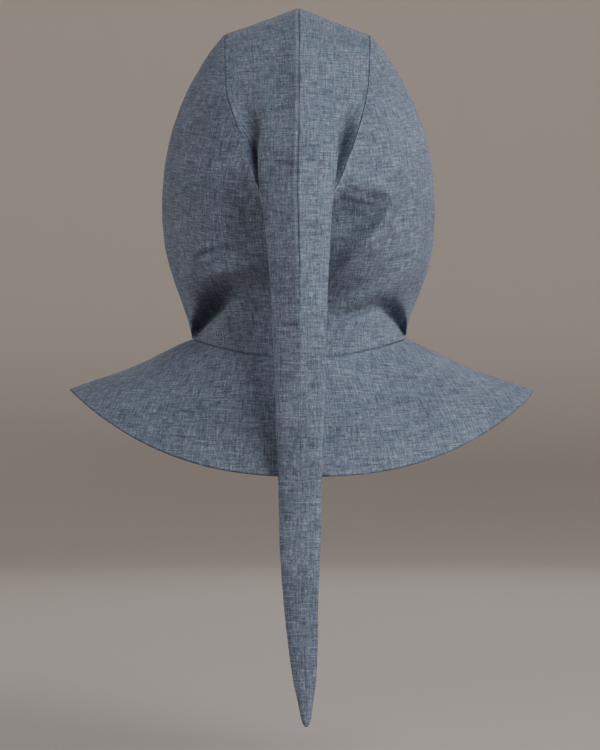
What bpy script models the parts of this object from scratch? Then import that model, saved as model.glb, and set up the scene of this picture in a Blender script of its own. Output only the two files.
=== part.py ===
"""Liripipe hood, as worn: two side panels, a crown cut in two halves that run on into the long tail,
and a shoulder cowl. All pieces are hollow cloth walls.

Metres, +Z up. The face opening looks along -Y and the tail hangs at +Y. The wearer's left is +X.
The origin is where the top of the head touches the inside of the crown.
"""

import math
from collections import namedtuple

import bpy
import numpy as np

# Driving sizes
CLOTH = 0.0015  # thickness of the cloth
THIN_TIP = 0.35  # the cloth is never thicker than this share of the tail's half width
SHARPEST_MITRE = 0.6  # keeps the edges of the walls short where two pieces meet at a sharp angle
SEAM_GAP = 0.0008  # space between two pieces that are sewn together
NECK_HEIGHT = -0.2800  # neck seam at the side of the neck
NECK_DROP_BACK = 0.0165  # how much lower the neck seam is at the nape
NECK_DROP_FRONT = 0.030  # and under the chin
HEM_HALF = 0.1965  # half width of the cowl over the shoulders
HEM_BACK = 0.136
HEM_FRONT = -0.118
HEM_BOTTOM = -0.3918  # hem at the middle of the back and of the front
COWL_SAG = 0.003  # how far the cowl hollows over the shoulders, and rounds at front and back
HEM_CURVE = 2.45  # how late the hem rises towards the shoulders
HEM_LEAN = -0.0015  # how far the cowl has slipped to the wearer's right
HEM_LEAN_BACK = -0.0045  # and how much further at the middle of the back
HEM_TOP = -0.3225  # hem on top of the shoulder
TAIL_JOINS = -0.182  # where the two tail seams meet on the back of the hood
FUNNEL_STARTS = -0.080  # where the crown begins to round off into the tail
FUNNEL_LENGTH = 0.050  # and over what height it does so
UNDER_TAIL = 0.52  # share of a half's width that stays round before it is drawn in to the seam
NECK_RADIUS = 0.085  # turns a fold's angle into a length
NECK_FADE = 0.012  # height over which the folds die out above the neck seam
SEAM_FADE = 0.07  # share of the section over which they die out beside the crown seam
CORNER_HEIGHT = -0.070  # where the crown seam turns from the top to the back

BLUE_GREY = (0.14, 0.18, 0.225)
ROUGHNESS = 0.9

# Mesh steps
SIDE_ROWS, SIDE_COLUMNS = 27, 25
ROWS_LOW = 1.35  # above 1 crowds the rows of a side panel towards the neck
TAIL_ROWS, CROWN_COLUMNS = 22, 8
COWL_ROWS = 5

# Level sections of the hood's outside, from the crown seam down to the neck seam.
# Heights are below the top of the crown; front_x and front_y are the edge of the face opening,
# and below the chin the closed throat.
Section = namedtuple("Section", "height half_width widest_y back_y front_x front_y squareness")
SECTIONS = (
    Section(-0.0230, 0.0620, -0.020, 0.062, 0.0600, -0.106, 5.0),
    Section(-0.0400, 0.0745, -0.015, 0.086, 0.0660, -0.108, 3.6),
    Section(-0.0600, 0.0880, -0.010, 0.103, 0.0740, -0.110, 3.0),
    Section(-0.0940, 0.1042, -0.008, 0.118, 0.0840, -0.113, 2.6),
    Section(-0.1280, 0.1118, -0.008, 0.126, 0.0900, -0.115, 2.4),
    Section(-0.1700, 0.1165, -0.010, 0.130, 0.0920, -0.117, 2.3),
    Section(-0.1960, 0.1156, -0.012, 0.127, 0.0880, -0.118, 2.25),
    Section(-0.2150, 0.1110, -0.012, 0.118, 0.0780, -0.118, 2.2),
    Section(-0.2300, 0.1067, -0.012, 0.104, 0.0600, -0.116, 2.2),
    Section(-0.2410, 0.1025, -0.012, 0.089, 0.0400, -0.113, 2.15),
    Section(-0.2500, 0.0985, -0.010, 0.081, 0.0000, -0.108, 2.1),
    Section(-0.2620, 0.0950, -0.008, 0.079, 0.0000, -0.098, 2.1),
    Section(-0.2750, 0.0915, -0.005, 0.083, 0.0000, -0.090, 2.0),
    Section(-0.2960, 0.0900, 0.000, 0.090, 0.0000, -0.086, 2.0),
    Section(-0.3100, 0.0900, 0.000, 0.093, 0.0000, -0.084, 2.0),
)

# The crown, from the face opening over the head to the back: its middle line and its side seam.
Station = namedtuple("Station", "middle_y middle_z seam_x seam_y seam_z")
CROWN = (
    Station(-0.106, -0.012, 0.060, -0.106, -0.0330),
    Station(-0.060, -0.003, 0.061, -0.060, -0.0270),
    Station(-0.020, 0.000, 0.062, -0.020, -0.0240),
    Station(0.015, -0.0005, 0.062, 0.012, -0.0233),
    Station(0.045, -0.008, 0.062, 0.038, -0.0255),
    Station(0.068, -0.021, 0.062, 0.0555, -0.0320),
    Station(0.084, -0.035, 0.062, 0.0676, -0.0400),
)

# The seam between crown and side panel, down the back of the hood.
BackSeam = namedtuple("BackSeam", "height x")
BACK_SEAM = (
    BackSeam(-0.040, 0.0620),
    BackSeam(-0.060, 0.0605),
    BackSeam(-0.082, 0.0590),
    BackSeam(-0.098, 0.0545),
    BackSeam(-0.118, 0.0465),
    BackSeam(-0.143, 0.0380),
    BackSeam(-0.160, 0.0310),
    BackSeam(-0.172, 0.0190),
    BackSeam(TAIL_JOINS, 0.0),
)

# The back of the crown and the tail: outer face, half width, depth and sideways lean.
Tail = namedtuple("Tail", "height outer_y half_width depth lean")
TAIL = (
    Tail(-0.048, 0.096, 0.034, 0.012, 0.0),
    Tail(-0.070, 0.109, 0.033, 0.012, 0.0),
    Tail(-0.094, 0.120, 0.032, 0.013, 0.0),
    Tail(-0.115, 0.130, 0.032, 0.015, 0.0003),
    Tail(-0.135, 0.138, 0.032, 0.017, 0.0008),
    Tail(-0.158, 0.1435, 0.0305, 0.018, 0.0014),
    Tail(TAIL_JOINS, 0.1475, 0.0275, 0.0172, 0.0008),
    Tail(-0.205, 0.1490, 0.0255, 0.0165, 0.0),
    Tail(-0.250, 0.1500, 0.0226, 0.0150, -0.0005),
    Tail(-0.318, 0.1505, 0.0200, 0.0135, -0.0010),
    Tail(-0.387, 0.1510, 0.0180, 0.0125, -0.0010),
    Tail(-0.451, 0.1510, 0.0163, 0.0115, -0.0012),
    Tail(-0.491, 0.1505, 0.0140, 0.0105, -0.0018),
    Tail(-0.524, 0.1500, 0.0122, 0.0095, -0.0034),
    Tail(-0.556, 0.1490, 0.0092, 0.0085, -0.0048),
    Tail(-0.573, 0.1480, 0.0062, 0.0070, -0.0054),
    Tail(-0.586, 0.1472, 0.0038, 0.0056, -0.0058),
    Tail(-0.592, 0.1468, 0.0022, 0.0042, -0.0060),
)

# Folds pressed into the side panels: the line each one follows, as degrees from the middle of the
# back and height, with its depth and its half width there.
Fold = namedtuple("Fold", "angle height depth width")
LEFT_FOLDS = (
    (
        Fold(75, -0.277, 0.008, 0.007),
        Fold(67, -0.268, 0.018, 0.011),
        Fold(60, -0.258, 0.025, 0.013),
        Fold(52, -0.248, 0.023, 0.013),
        Fold(43, -0.240, 0.016, 0.012),
        Fold(30, -0.236, 0.008, 0.009),
        Fold(16, -0.237, 0.004, 0.009),
    ),
    (
        Fold(22, -0.170, 0.002, 0.018),
        Fold(27, -0.195, 0.005, 0.028),
        Fold(28, -0.215, 0.003, 0.020),
    ),
    (
        Fold(50, -0.212, -0.002, 0.007),
        Fold(36, -0.205, -0.003, 0.008),
        Fold(26, -0.203, -0.001, 0.007),
    ),
)
RIGHT_FOLDS = (
    (
        Fold(78, -0.274, 0.007, 0.006),
        Fold(71, -0.266, 0.016, 0.010),
        Fold(64, -0.257, 0.022, 0.012),
        Fold(57, -0.249, 0.020, 0.011),
        Fold(47, -0.247, 0.010, 0.009),
        Fold(37, -0.252, 0.005, 0.006),
        Fold(28, -0.257, 0.002, 0.006),
    ),
    (
        Fold(16, -0.168, 0.003, 0.014),
        Fold(25, -0.180, 0.006, 0.020),
        Fold(18, -0.203, 0.005, 0.018),
        Fold(14, -0.225, 0.002, 0.014),
    ),
    (
        Fold(43, -0.172, -0.001, 0.010),
        Fold(36, -0.190, -0.004, 0.011),
        Fold(27, -0.212, -0.003, 0.011),
    ),
)


def smooth(rows, column, at, key="height"):
    """A named column of a table at any key, as a smooth curve that doesn't overshoot its rows."""
    rows = sorted(rows, key=lambda row: getattr(row, key))
    x = np.array([getattr(row, key) for row in rows])
    y = np.array([getattr(row, column) for row in rows])
    at = np.clip(np.asarray(at, float), x[0], x[-1])
    step = np.diff(x)
    rise = np.diff(y) / step
    slope = np.empty_like(y)
    slope[0], slope[-1] = rise[0], rise[-1]
    same_way = rise[:-1] * rise[1:] > 0
    weight = (2 * step[1:] + step[:-1], step[1:] + 2 * step[:-1])
    safe = np.where(same_way, rise[:-1], 1.0), np.where(same_way, rise[1:], 1.0)
    slope[1:-1] = np.where(
        same_way, sum(weight) / (weight[0] / safe[0] + weight[1] / safe[1]), 0.0
    )
    i = np.clip(np.searchsorted(x, at) - 1, 0, len(step) - 1)
    t = (at - x[i]) / step[i]
    return (
        y[i] * (1 + 2 * t) * (1 - t) ** 2
        + slope[i] * step[i] * t * (1 - t) ** 2
        + y[i + 1] * t**2 * (3 - 2 * t)
        + slope[i + 1] * step[i] * t**2 * (t - 1)
    )


def ease(t):
    """0 to 1 with flat ends."""
    t = np.clip(t, 0.0, 1.0)
    return t * t * (3 - 2 * t)


def level_section(height, t):
    """Left half of a level section without folds. t runs from -1 at the front edge, through 0 at the
    widest point, to 1 at the middle of the back."""
    width = smooth(SECTIONS, "half_width", height)
    widest_y = smooth(SECTIONS, "widest_y", height)
    reach = smooth(SECTIONS, "back_y", height) - widest_y
    front_x = smooth(SECTIONS, "front_x", height)
    front_y = smooth(SECTIONS, "front_y", height)
    power = 2 / smooth(SECTIONS, "squareness", height)
    turn = np.clip(t, 0, 1) * math.pi / 2
    front_turn = np.arccos(np.clip(front_x / width, 0, 1))
    swing = np.clip(-t, 0, 1) * front_turn
    behind = t >= 0
    x = np.where(behind, width * np.cos(turn) ** power, width * np.cos(swing))
    y_behind = widest_y + reach * np.sin(turn) ** power
    y_before = widest_y + (front_y - widest_y) * np.sin(swing) / np.sin(front_turn)
    return np.where(t >= 1, 0.0, x), np.where(behind, y_behind, y_before)


LEVELS = np.linspace(SECTIONS[-1].height, SECTIONS[0].height, 120)
TURNS = np.concatenate([np.linspace(-1, 0, 60)[:-1], np.sin(np.linspace(0, 1, 90) * math.pi / 2) ** 2])


def measured_levels():
    """For each level, how far along the section each turn lies, as a share of the section's length."""
    shares = []
    for level in LEVELS:
        x, y = level_section(np.full_like(TURNS, level), TURNS)
        along = np.concatenate([[0], np.cumsum(np.hypot(np.diff(x), np.diff(y)))])
        shares.append(along / along[-1])
    return np.array(shares)


SHARES = measured_levels()


def turn_at(height, share):
    """The turn t at a share of the section's length, from 0 at the front edge to 1 at the back."""
    height, share = np.broadcast_arrays(np.asarray(height, float), np.asarray(share, float))
    place = (np.clip(height, LEVELS[0], LEVELS[-1]) - LEVELS[0]) / (LEVELS[1] - LEVELS[0])
    low = np.clip(place.astype(int), 0, len(LEVELS) - 2)
    found = np.empty(height.shape)
    for i in np.ndindex(height.shape):
        k = low[i]
        ends = [np.interp(share[i], SHARES[k + n], TURNS) for n in (0, 1)]
        found[i] = ends[0] + (ends[1] - ends[0]) * (place[i] - k)
    return found


def fold_depth(folds, angle, height):
    """How far the cloth is pressed in at an angle from the middle of the back and a height."""
    pressed, raised = np.zeros(np.shape(angle)), np.zeros(np.shape(angle))
    for path in folds:
        places = np.arange(len(path), dtype=float)
        rows = [row._replace(angle=math.radians(row.angle)) for row in path]
        fine = np.linspace(0, places[-1], 12 * len(path))
        line = {
            name: np.interp(fine, places, [getattr(row, name) for row in rows])
            for name in Fold._fields
        }
        for a, h, depth, width in zip(*(line[name] for name in Fold._fields)):
            away = np.hypot((angle - a) * NECK_RADIUS, height - h) / width
            here = depth * np.exp(-(away**2))
            pressed, raised = np.maximum(pressed, here), np.minimum(raised, here)
    return pressed + raised


def hood_side(height, share, folds):
    """Points of the left side of the hood, folds included, at a height and a share of the section."""
    x, y = level_section(height, turn_at(height, share))
    radius = np.maximum(np.hypot(x, y), 1e-6)
    above_neck = ease((height - neck_height(share)) / NECK_FADE)
    beside_crown = ease((seam_share(height) - share) / SEAM_FADE)
    pressed = above_neck * beside_crown * fold_depth(folds, np.arctan2(x, y), height) / radius
    return np.stack([x * (1 - pressed), y * (1 - pressed), height], axis=-1)


def neck_height(share):
    """Height of the neck seam at a share of the way from the throat to the middle of the back."""
    drop = np.where(share < 0.5, NECK_DROP_FRONT, NECK_DROP_BACK)
    return NECK_HEIGHT - drop * np.cos(math.pi * share) ** 2


def measured_seam():
    """For each level, the share of the section at which the side panel meets the crown."""
    shares = np.linspace(0.5, 1, 80)
    x_seam = smooth(BACK_SEAM, "x", LEVELS)
    found = []
    for level, seam in zip(LEVELS, x_seam):
        level = min(level, BACK_SEAM[0].height)
        x, _ = level_section(np.full_like(shares, level), turn_at(level, shares))
        found.append(np.interp(-seam, -x, shares) if level > TAIL_JOINS else 1.0)
    return np.array(found)


SEAM_SHARES = measured_seam()


def seam_share(height):
    """Share of the section at which the side panel meets the crown, or 1 where it reaches the middle."""
    return np.where(height > TAIL_JOINS, np.interp(height, LEVELS, SEAM_SHARES), 1.0)


def back_seam_point(height):
    """Point of the crown's side seam on the back of the hood, on the left."""
    share = seam_share(height)
    x, y = level_section(height, turn_at(height, share))
    return np.stack([x, y, height], axis=-1)


def curve_through(points, at):
    """A smooth curve through points, at places counted in points."""
    points = np.asarray(points, float)
    last = len(points) - 1
    ends = np.vstack([2 * points[0] - points[1], points, 2 * points[-1] - points[-2]])
    at = np.clip(np.asarray(at, float), 0, last)
    i = np.minimum(at.astype(int), last - 1)
    t = (at - i)[..., None]
    a, b, c, d = (ends[i + n] for n in range(4))
    bend = (2 * a - 5 * b + 4 * c - d) * t**2 + (3 * b - 3 * c + d - a) * t**3
    return 0.5 * (2 * b + (c - a) * t + bend)


def crown_lines(side):
    """Middle line and side seam of the crown and tail, from the face opening to the tip, as two dense
    lines. Side is 1 for the left half and -1 for the right half, which is drawn mirrored."""
    middle_top = [(0, row.middle_y, row.middle_z) for row in CROWN]
    middle_top.append((0, TAIL[0].outer_y, TAIL[0].height))
    seam_top = [(row.seam_x, row.seam_y, row.seam_z) for row in CROWN]
    seam_top.append(tuple(back_seam_point(np.array(TAIL[0].height))))
    over = np.linspace(0, len(CROWN), 100)[:-1]
    heights = np.linspace(TAIL[0].height, TAIL[-1].height, 260)
    lean = smooth(TAIL, "lean", heights) * side
    middle_down = np.stack([lean, smooth(TAIL, "outer_y", heights), heights], axis=-1)
    free = middle_down - np.array([0, 1, 0]) * smooth(TAIL, "depth", heights)[:, None]
    on_hood = heights[:, None] > TAIL_JOINS
    seam_down = np.where(on_hood, back_seam_point(heights), free)
    return (
        np.vstack([curve_through(middle_top, over), middle_down]),
        np.vstack([curve_through(seam_top, over), seam_down]),
    )


MIDDLE_LINE, SEAM_LINE = crown_lines(1)
MIDDLE_LINE_RIGHT, SEAM_LINE_RIGHT = crown_lines(-1)
ALONG = np.concatenate([[0], np.cumsum(np.linalg.norm(np.diff(MIDDLE_LINE, axis=0), axis=1))])
CORNER = np.interp(CORNER_HEIGHT, MIDDLE_LINE[::-1, 2], ALONG[::-1])


def on_line(line, along):
    """Point of a dense line at a length along the crown's middle line."""
    return np.stack([np.interp(along, ALONG, line[:, k]) for k in range(3)], axis=-1)


def crown_half(along, w, side):
    """Outer surface of the left half of the crown and tail, or of the right half mirrored to the
    left. w runs from 0 at the middle seam to 1 at the side seam, which on the tail is the seam
    underneath."""
    middle_line = MIDDLE_LINE if side > 0 else MIDDLE_LINE_RIGHT
    seam_line = SEAM_LINE if side > 0 else SEAM_LINE_RIGHT
    middle, seam = on_line(middle_line, along), on_line(seam_line, along)
    height = middle[..., 2]
    w = w[..., None]
    roundness = 1.0 + 0.8 * ease((-height - 0.01) / 0.07)[..., None]
    gap = seam - middle
    roof = middle + gap * np.where([True, False, False], w, w**roundness)
    width = smooth(TAIL, "half_width", height)[..., None]
    depth = smooth(TAIL, "depth", height)[..., None]
    turn = math.pi * w
    sideways, inward = np.array([1.0, 0, 0]), np.array([0, -1.0, 0])
    tube = middle + width * np.sin(turn) * sideways + depth / 2 * (1 - np.cos(turn)) * inward
    drawn = ease((w - UNDER_TAIL) / (1 - UNDER_TAIL))
    funnel = tube + (seam - tube) * drawn
    share = ease((FUNNEL_STARTS - height) / FUNNEL_LENGTH)[..., None]
    return roof + (funnel - roof) * share


def column_shares():
    """Places of the columns round a side panel, closer together where the neck folds are."""
    even = np.linspace(0, 1, 400)
    density = 1 + 1.3 * np.exp(-(((even - 0.70) / 0.13) ** 2))
    count = np.cumsum(density) - density[0]
    return np.interp(np.linspace(0, count[-1], SIDE_COLUMNS + 1), count, even)


SHARES_ROUND = column_shares()


def crown_seam_shares(top):
    """Share of the section at which each point of the crown seam lies on the hood, as a part of the
    share at the back seam."""
    shares = np.linspace(0, 1, 80)
    found = []
    for x, y, z in top:
        _, y_round = level_section(np.full_like(shares, z), turn_at(z, shares))
        on_top = np.interp(y, y_round, shares)
        found.append(on_top if z > BACK_SEAM[0].height else seam_share(z))
    return np.minimum(np.array(found) / seam_share(top[:, 2]), 1.0)


def side_panel_points(folds):
    """Outer surface of the left side panel. Columns run from the face opening to the back, rows from
    the neck seam up to the crown seam."""
    top = on_line(SEAM_LINE, SHARES_ROUND * CORNER)
    rows = np.linspace(0, 1, SIDE_ROWS + 1) ** ROWS_LOW
    nape = float(neck_height(1.0))
    join = (TAIL_JOINS - nape) / (top[-1, 2] - nape)
    rows[np.argmin(abs(rows - join))] = join
    u, v = np.meshgrid(SHARES_ROUND, rows)
    share = u + (crown_seam_shares(top) - u) * v**2
    height = neck_height(u) * (1 - v) + top[None, :, 2] * v
    share = share * seam_share(height)
    points = hood_side(height, share, folds)
    correction = top - points[-1]
    return points + correction[None] * (v**4)[..., None]


def cowl_columns():
    """Share of each column of the cowl and the side it is on, from the middle of the back over the
    wearer's left shoulder and right round."""
    share = np.concatenate([SHARES_ROUND[::-1], SHARES_ROUND[1:-1]])
    return share, np.repeat([1.0, -1.0], [SIDE_COLUMNS + 1, SIDE_COLUMNS - 1])


def cowl_points():
    """Outer surface of the cowl: rows from the neck seam out to the hem, columns right round from the
    middle of the back over the wearer's left shoulder."""
    share, side = cowl_columns()
    round_it = (1 - share) * math.pi * side
    inner = hood_side(neck_height(share), share, ())
    inner[:, 0] *= side
    x = HEM_HALF * np.sin(round_it)
    y = np.where(np.cos(round_it) > 0, HEM_BACK, -HEM_FRONT) * np.cos(round_it)
    z = HEM_BOTTOM + (HEM_TOP - HEM_BOTTOM) * np.abs(np.sin(round_it)) ** HEM_CURVE
    x = x + HEM_LEAN + HEM_LEAN_BACK * np.maximum(np.cos(round_it), 0) ** 0.5
    hem = np.stack([x, y, z], axis=-1)
    out = np.linspace(0, 1, COWL_ROWS + 1)[:, None, None]
    sag = -COWL_SAG * np.cos(2 * (round_it - math.pi / 2))
    points = inner + (hem - inner) * out
    points[..., 2] += sag * 16 * ((out * (1 - out)) ** 2)[..., 0]
    return points


def normals_of(points, closed):
    """Outward normals of a grid of points whose rows climb and whose columns run from the face to
    the back on the wearer's left."""
    along = np.gradient(points, axis=1)
    if closed:
        along = np.roll(points, -1, axis=1) - np.roll(points, 1, axis=1)
    up = np.gradient(points, axis=0)
    normals = np.cross(along, up)
    return normals / np.maximum(np.linalg.norm(normals, axis=-1, keepdims=True), 1e-12)


def between(own, other):
    """Direction into the cloth at a seam, the same for both pieces, long enough for a mitred edge."""
    middle = own + other
    middle = middle / np.linalg.norm(middle, axis=-1, keepdims=True)
    lean = np.maximum(np.sum(middle * own, axis=-1, keepdims=True), SHARPEST_MITRE)
    return middle * CLOTH / lean


def at_places(places, known_places, known):
    """Rows of a table of directions at other places along it."""
    order = np.argsort(known_places)
    columns = [np.interp(places, known_places[order], known[order, k]) for k in range(3)]
    return np.stack(columns, axis=-1)


def draw_back(points, sides, distance=SEAM_GAP / 2):
    """Moves the named edges of a grid inwards along the surface, to leave room for a seam."""
    for side in sides:
        rows = {
            "first_row": (np.s_[0], np.s_[1]),
            "last_row": (np.s_[-1], np.s_[-2]),
            "first_column": (np.s_[:, 0], np.s_[:, 1]),
            "last_column": (np.s_[:, -1], np.s_[:, -2]),
        }
        edge, inside = rows[side]
        step = points[inside] - points[edge]
        length = np.maximum(np.linalg.norm(step, axis=-1, keepdims=True), 1e-9)
        points[edge] = points[edge] + step / length * np.minimum(distance, length / 2)
    return points


def cloth_shell(name, outer, inner, colour, closed=False):
    """A closed wall of cloth between two grids of points."""
    rows, columns = outer.shape[:2]
    points = np.concatenate([outer.reshape(-1, 3), inner.reshape(-1, 3)])
    points[:, 2] += CLOTH
    number = np.arange(rows * columns).reshape(rows, columns)
    lower = number + rows * columns
    faces = []
    ring = list(range(columns)) + ([0] if closed else [])
    for i in range(rows - 1):
        for j, k in zip(ring, ring[1:]):
            faces.append((number[i, j], number[i, k], number[i + 1, k], number[i + 1, j]))
            faces.append((lower[i, j], lower[i + 1, j], lower[i + 1, k], lower[i, k]))
    for j, k in zip(ring, ring[1:]):
        faces.append((number[0, k], number[0, j], lower[0, j], lower[0, k]))
        faces.append((number[-1, j], number[-1, k], lower[-1, k], lower[-1, j]))
    if not closed:
        for i in range(rows - 1):
            faces.append((number[i, 0], number[i + 1, 0], lower[i + 1, 0], lower[i, 0]))
            faces.append((number[i + 1, -1], number[i, -1], lower[i, -1], lower[i + 1, -1]))
    mesh = bpy.data.meshes.new(name)
    mesh.from_pydata([tuple(p) for p in points], [], [tuple(int(n) for n in f) for f in faces])
    mesh.validate()
    mesh.shade_smooth()
    mesh.set_sharp_from_angle(angle=math.radians(40))
    mesh.materials.append(colour)
    hood = bpy.data.objects.new(name, mesh)
    bpy.context.scene.collection.objects.link(hood)
    return hood


def linen(name, colour):
    """Blue-grey linen."""
    material = bpy.data.materials.new(name)
    material.use_nodes = True
    shader = material.node_tree.nodes["Principled BSDF"]
    shader.inputs["Base Color"].default_value = (*colour, 1.0)
    shader.inputs["Roughness"].default_value = ROUGHNESS
    shader.inputs["Metallic"].default_value = 0.0
    return material


def mirrored(points):
    """The same points on the wearer's right, with the columns turned round."""
    return (points * np.array([-1.0, 1, 1]))[:, ::-1]


def crown_grid(side):
    """One half of the crown and tail, on the left: rows climb from the tip, columns run to the
    middle."""
    side_outer, _, top, back = side_grid(())
    sewn = back[side_outer[:, -1, 2] >= TAIL_JOINS - 1e-9]
    hanging = np.linspace(sewn[0], ALONG[-1], TAIL_ROWS + 1)
    along = np.concatenate([hanging[:0:-1], sewn, top[-2::-1]])
    w, length = np.meshgrid(1 - np.linspace(0, 1, CROWN_COLUMNS + 1), along)
    outer = crown_half(length, w, side)
    return outer, normals_of(outer, False), along


def side_grid(folds):
    """Left side panel with its normals and the places of its seams: along the crown for the top edge
    and the back edge, and the share of the neck for the bottom edge."""
    outer = side_panel_points(folds)
    back = np.interp(-outer[:, -1, 2], -SEAM_LINE[:, 2], ALONG)
    return outer, normals_of(outer, False), SHARES_ROUND * CORNER, back


def side_panel(name, folds, side, colour):
    outer, normals, top, back = side_grid(folds)
    _, crown_normals, along = crown_grid(side)
    _, cowl_normals, cowl_share = cowl_grid()
    on_left = np.argsort(cowl_share[-SIDE_COLUMNS - 1 :])
    neck_normals = cowl_normals[-1, -SIDE_COLUMNS - 1 :][on_left]
    inward = normals * CLOTH
    inward[-1] = between(normals[-1], at_places(top, along, crown_normals[:, 0]))
    sewn = outer[:, -1, 2] > TAIL_JOINS + 1e-6
    beside = at_places(back, along, crown_normals[:, 0])
    inward[sewn, -1] = between(normals[:, -1], beside)[sewn]
    inward[0] = between(normals[0], neck_normals)
    inner = outer - inward
    edges = ("first_row", "last_row", "last_column")
    outer, inner = draw_back(outer, edges), draw_back(inner, edges)
    throat = outer[:, 0, 0] < 0.001
    for wall in (outer, inner):
        wall[throat, 0, 0] = SEAM_GAP / 2
        wall[~sewn, -1, 0] = SEAM_GAP / 2
    if side < 0:
        outer, inner = mirrored(outer), mirrored(inner)
    return cloth_shell(name, outer, inner, colour)


def crown_tail(name, side, colour):
    outer, normals, along = crown_grid(side)
    _, side_normals, top, back = side_grid(())
    lean = smooth(TAIL, "lean", outer[..., 2]) * side
    half_width = smooth(TAIL, "half_width", outer[..., 2])[..., None]
    inward = normals * np.minimum(CLOTH, THIN_TIP * half_width)
    places = np.concatenate([top, back[::-1]])
    beside = at_places(along, places, np.concatenate([side_normals[-1], side_normals[::-1, -1]]))
    sewn = outer[:, 0, 2] > TAIL_JOINS + 1e-6
    inward[sewn, 0] = between(normals[:, 0], beside)[sewn]
    inner = outer - inward
    edges = ("first_column", "last_column")
    outer, inner = draw_back(outer, edges), draw_back(inner, edges)
    for wall in (outer, inner):
        wall[..., 0] = lean + np.maximum(wall[..., 0] - lean, SEAM_GAP / 2)
    if side < 0:
        outer, inner = mirrored(outer), mirrored(inner)
    return cloth_shell(name, outer, inner, colour)


def cowl_grid():
    """The cowl: rows climb from the hem to the neck seam, columns run right round."""
    outer = cowl_points()[::-1, ::-1]
    return outer, normals_of(outer, True), cowl_columns()[0][::-1]


def cowl(name, colour):
    outer, normals, share = cowl_grid()
    _, side_normals, _, _ = side_grid(())
    beside = at_places(share, SHARES_ROUND, side_normals[0])
    beside[:, 0] *= np.where(outer[-1, :, 0] < 0, -1, 1)
    inward = normals * CLOTH
    inward[-1] = between(normals[-1], beside)
    edges = ("last_row",)
    return cloth_shell(
        name, draw_back(outer, edges), draw_back(outer - inward, edges), colour, closed=True
    )


def build():
    for old in list(bpy.data.objects):
        bpy.data.objects.remove(old)
    colour = linen("linen", BLUE_GREY)
    side_panel("side_left", LEFT_FOLDS, 1, colour)
    side_panel("side_right", RIGHT_FOLDS, -1, colour)
    crown_tail("crown_tail_left", 1, colour)
    crown_tail("crown_tail_right", -1, colour)
    cowl("cowl", colour)


build()
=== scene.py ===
import math
from collections import namedtuple

import bpy
import numpy as np
from mathutils import Matrix, Vector


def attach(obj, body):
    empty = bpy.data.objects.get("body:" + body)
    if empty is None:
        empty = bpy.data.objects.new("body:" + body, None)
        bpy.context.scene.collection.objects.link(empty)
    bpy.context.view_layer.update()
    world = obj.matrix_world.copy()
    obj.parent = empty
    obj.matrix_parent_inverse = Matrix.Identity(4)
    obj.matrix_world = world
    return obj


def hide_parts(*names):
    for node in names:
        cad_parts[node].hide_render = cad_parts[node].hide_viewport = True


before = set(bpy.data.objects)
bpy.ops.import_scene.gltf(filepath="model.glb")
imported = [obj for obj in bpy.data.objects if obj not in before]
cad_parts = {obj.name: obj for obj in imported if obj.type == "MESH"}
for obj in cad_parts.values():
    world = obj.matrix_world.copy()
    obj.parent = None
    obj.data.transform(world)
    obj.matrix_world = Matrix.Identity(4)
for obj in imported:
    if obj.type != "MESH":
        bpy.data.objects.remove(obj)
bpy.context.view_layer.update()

print("frame loaded:", ", ".join(sorted(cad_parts)))


# camera first, at the height of the cowl and straight behind the hood
cameraSetup = {
    "place": (-0.0010, 2.504, -0.309),
    "angle": 14.5,  # degrees, over the height of the picture
}

cameraData = bpy.data.cameras.new("camera")
cameraData.sensor_fit = "VERTICAL"
cameraData.angle = math.radians(cameraSetup["angle"])
camera = bpy.data.objects.new("camera", cameraData)
camera.location = cameraSetup["place"]
camera.rotation_euler = (math.radians(90), 0, math.radians(180))
bpy.context.scene.collection.objects.link(camera)
bpy.context.scene.camera = camera


# small tools for curves, noise and grids of points
def betweenRows(rows, column, at):
    # a table's column by height: its values, steps and slopes, and where each place falls among them
    rows = sorted(rows, key=lambda row: row.height)
    x = np.array([row.height for row in rows])
    y = np.array([getattr(row, column) for row in rows])
    at = np.clip(np.asarray(at, float), x[0], x[-1])
    i = np.clip(np.searchsorted(x, at) - 1, 0, len(x) - 2)
    return y, np.diff(x), np.diff(y) / np.diff(x), i, at - x[i]


def smoothColumn(rows, column, at):
    # a column of a table at any height, without overshooting its rows
    y, step, rise, i, past = betweenRows(rows, column, at)
    slope = np.empty_like(y)
    slope[0], slope[-1] = rise[0], rise[-1]
    sameWay = rise[:-1] * rise[1:] > 0
    before, after = (np.where(sameWay, part, 1.0) for part in (rise[:-1], rise[1:]))
    weightBefore = 2 * step[1:] + step[:-1]
    weightAfter = step[1:] + 2 * step[:-1]
    total = weightBefore + weightAfter
    slope[1:-1] = np.where(sameWay, total / (weightBefore / before + weightAfter / after), 0.0)
    t = past / step[i]
    value = y[i] * (1 + 2 * t) * (1 - t) ** 2 + y[i + 1] * t**2 * (3 - 2 * t)
    return value + step[i] * (slope[i] * t * (1 - t) ** 2 + slope[i + 1] * t**2 * (t - 1))


def splineColumn(rows, column, at):
    # the same as one bending curve, for the outlines
    y, step, rise, i, t = betweenRows(rows, column, at)
    steps = np.eye(len(y))
    bend = np.zeros(len(y))
    for k in range(1, len(y) - 1):
        steps[k, k - 1 : k + 2] = step[k - 1], 2 * (step[k - 1] + step[k]), step[k]
        bend[k] = 6 * (rise[k] - rise[k - 1])
    bend = np.linalg.solve(steps, bend)
    first = rise[i] - step[i] * (2 * bend[i] + bend[i + 1]) / 6
    return y[i] + t * first + t**2 * bend[i] / 2 + t**3 * (bend[i + 1] - bend[i]) / (6 * step[i])


def outlineColumns(height):
    return [splineColumn(hoodForm["sections"], name, height) for name in ("halfWidth", "backY")]


def formColumns(height, *names):
    return [smoothColumn(hoodForm["sections"], name, height) for name in names]


def tailColumns(height, *names):
    return [smoothColumn(crownTail["tail"], name, height) for name in names]


def running(steps):
    return np.concatenate([[0], np.cumsum(steps)])


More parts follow.
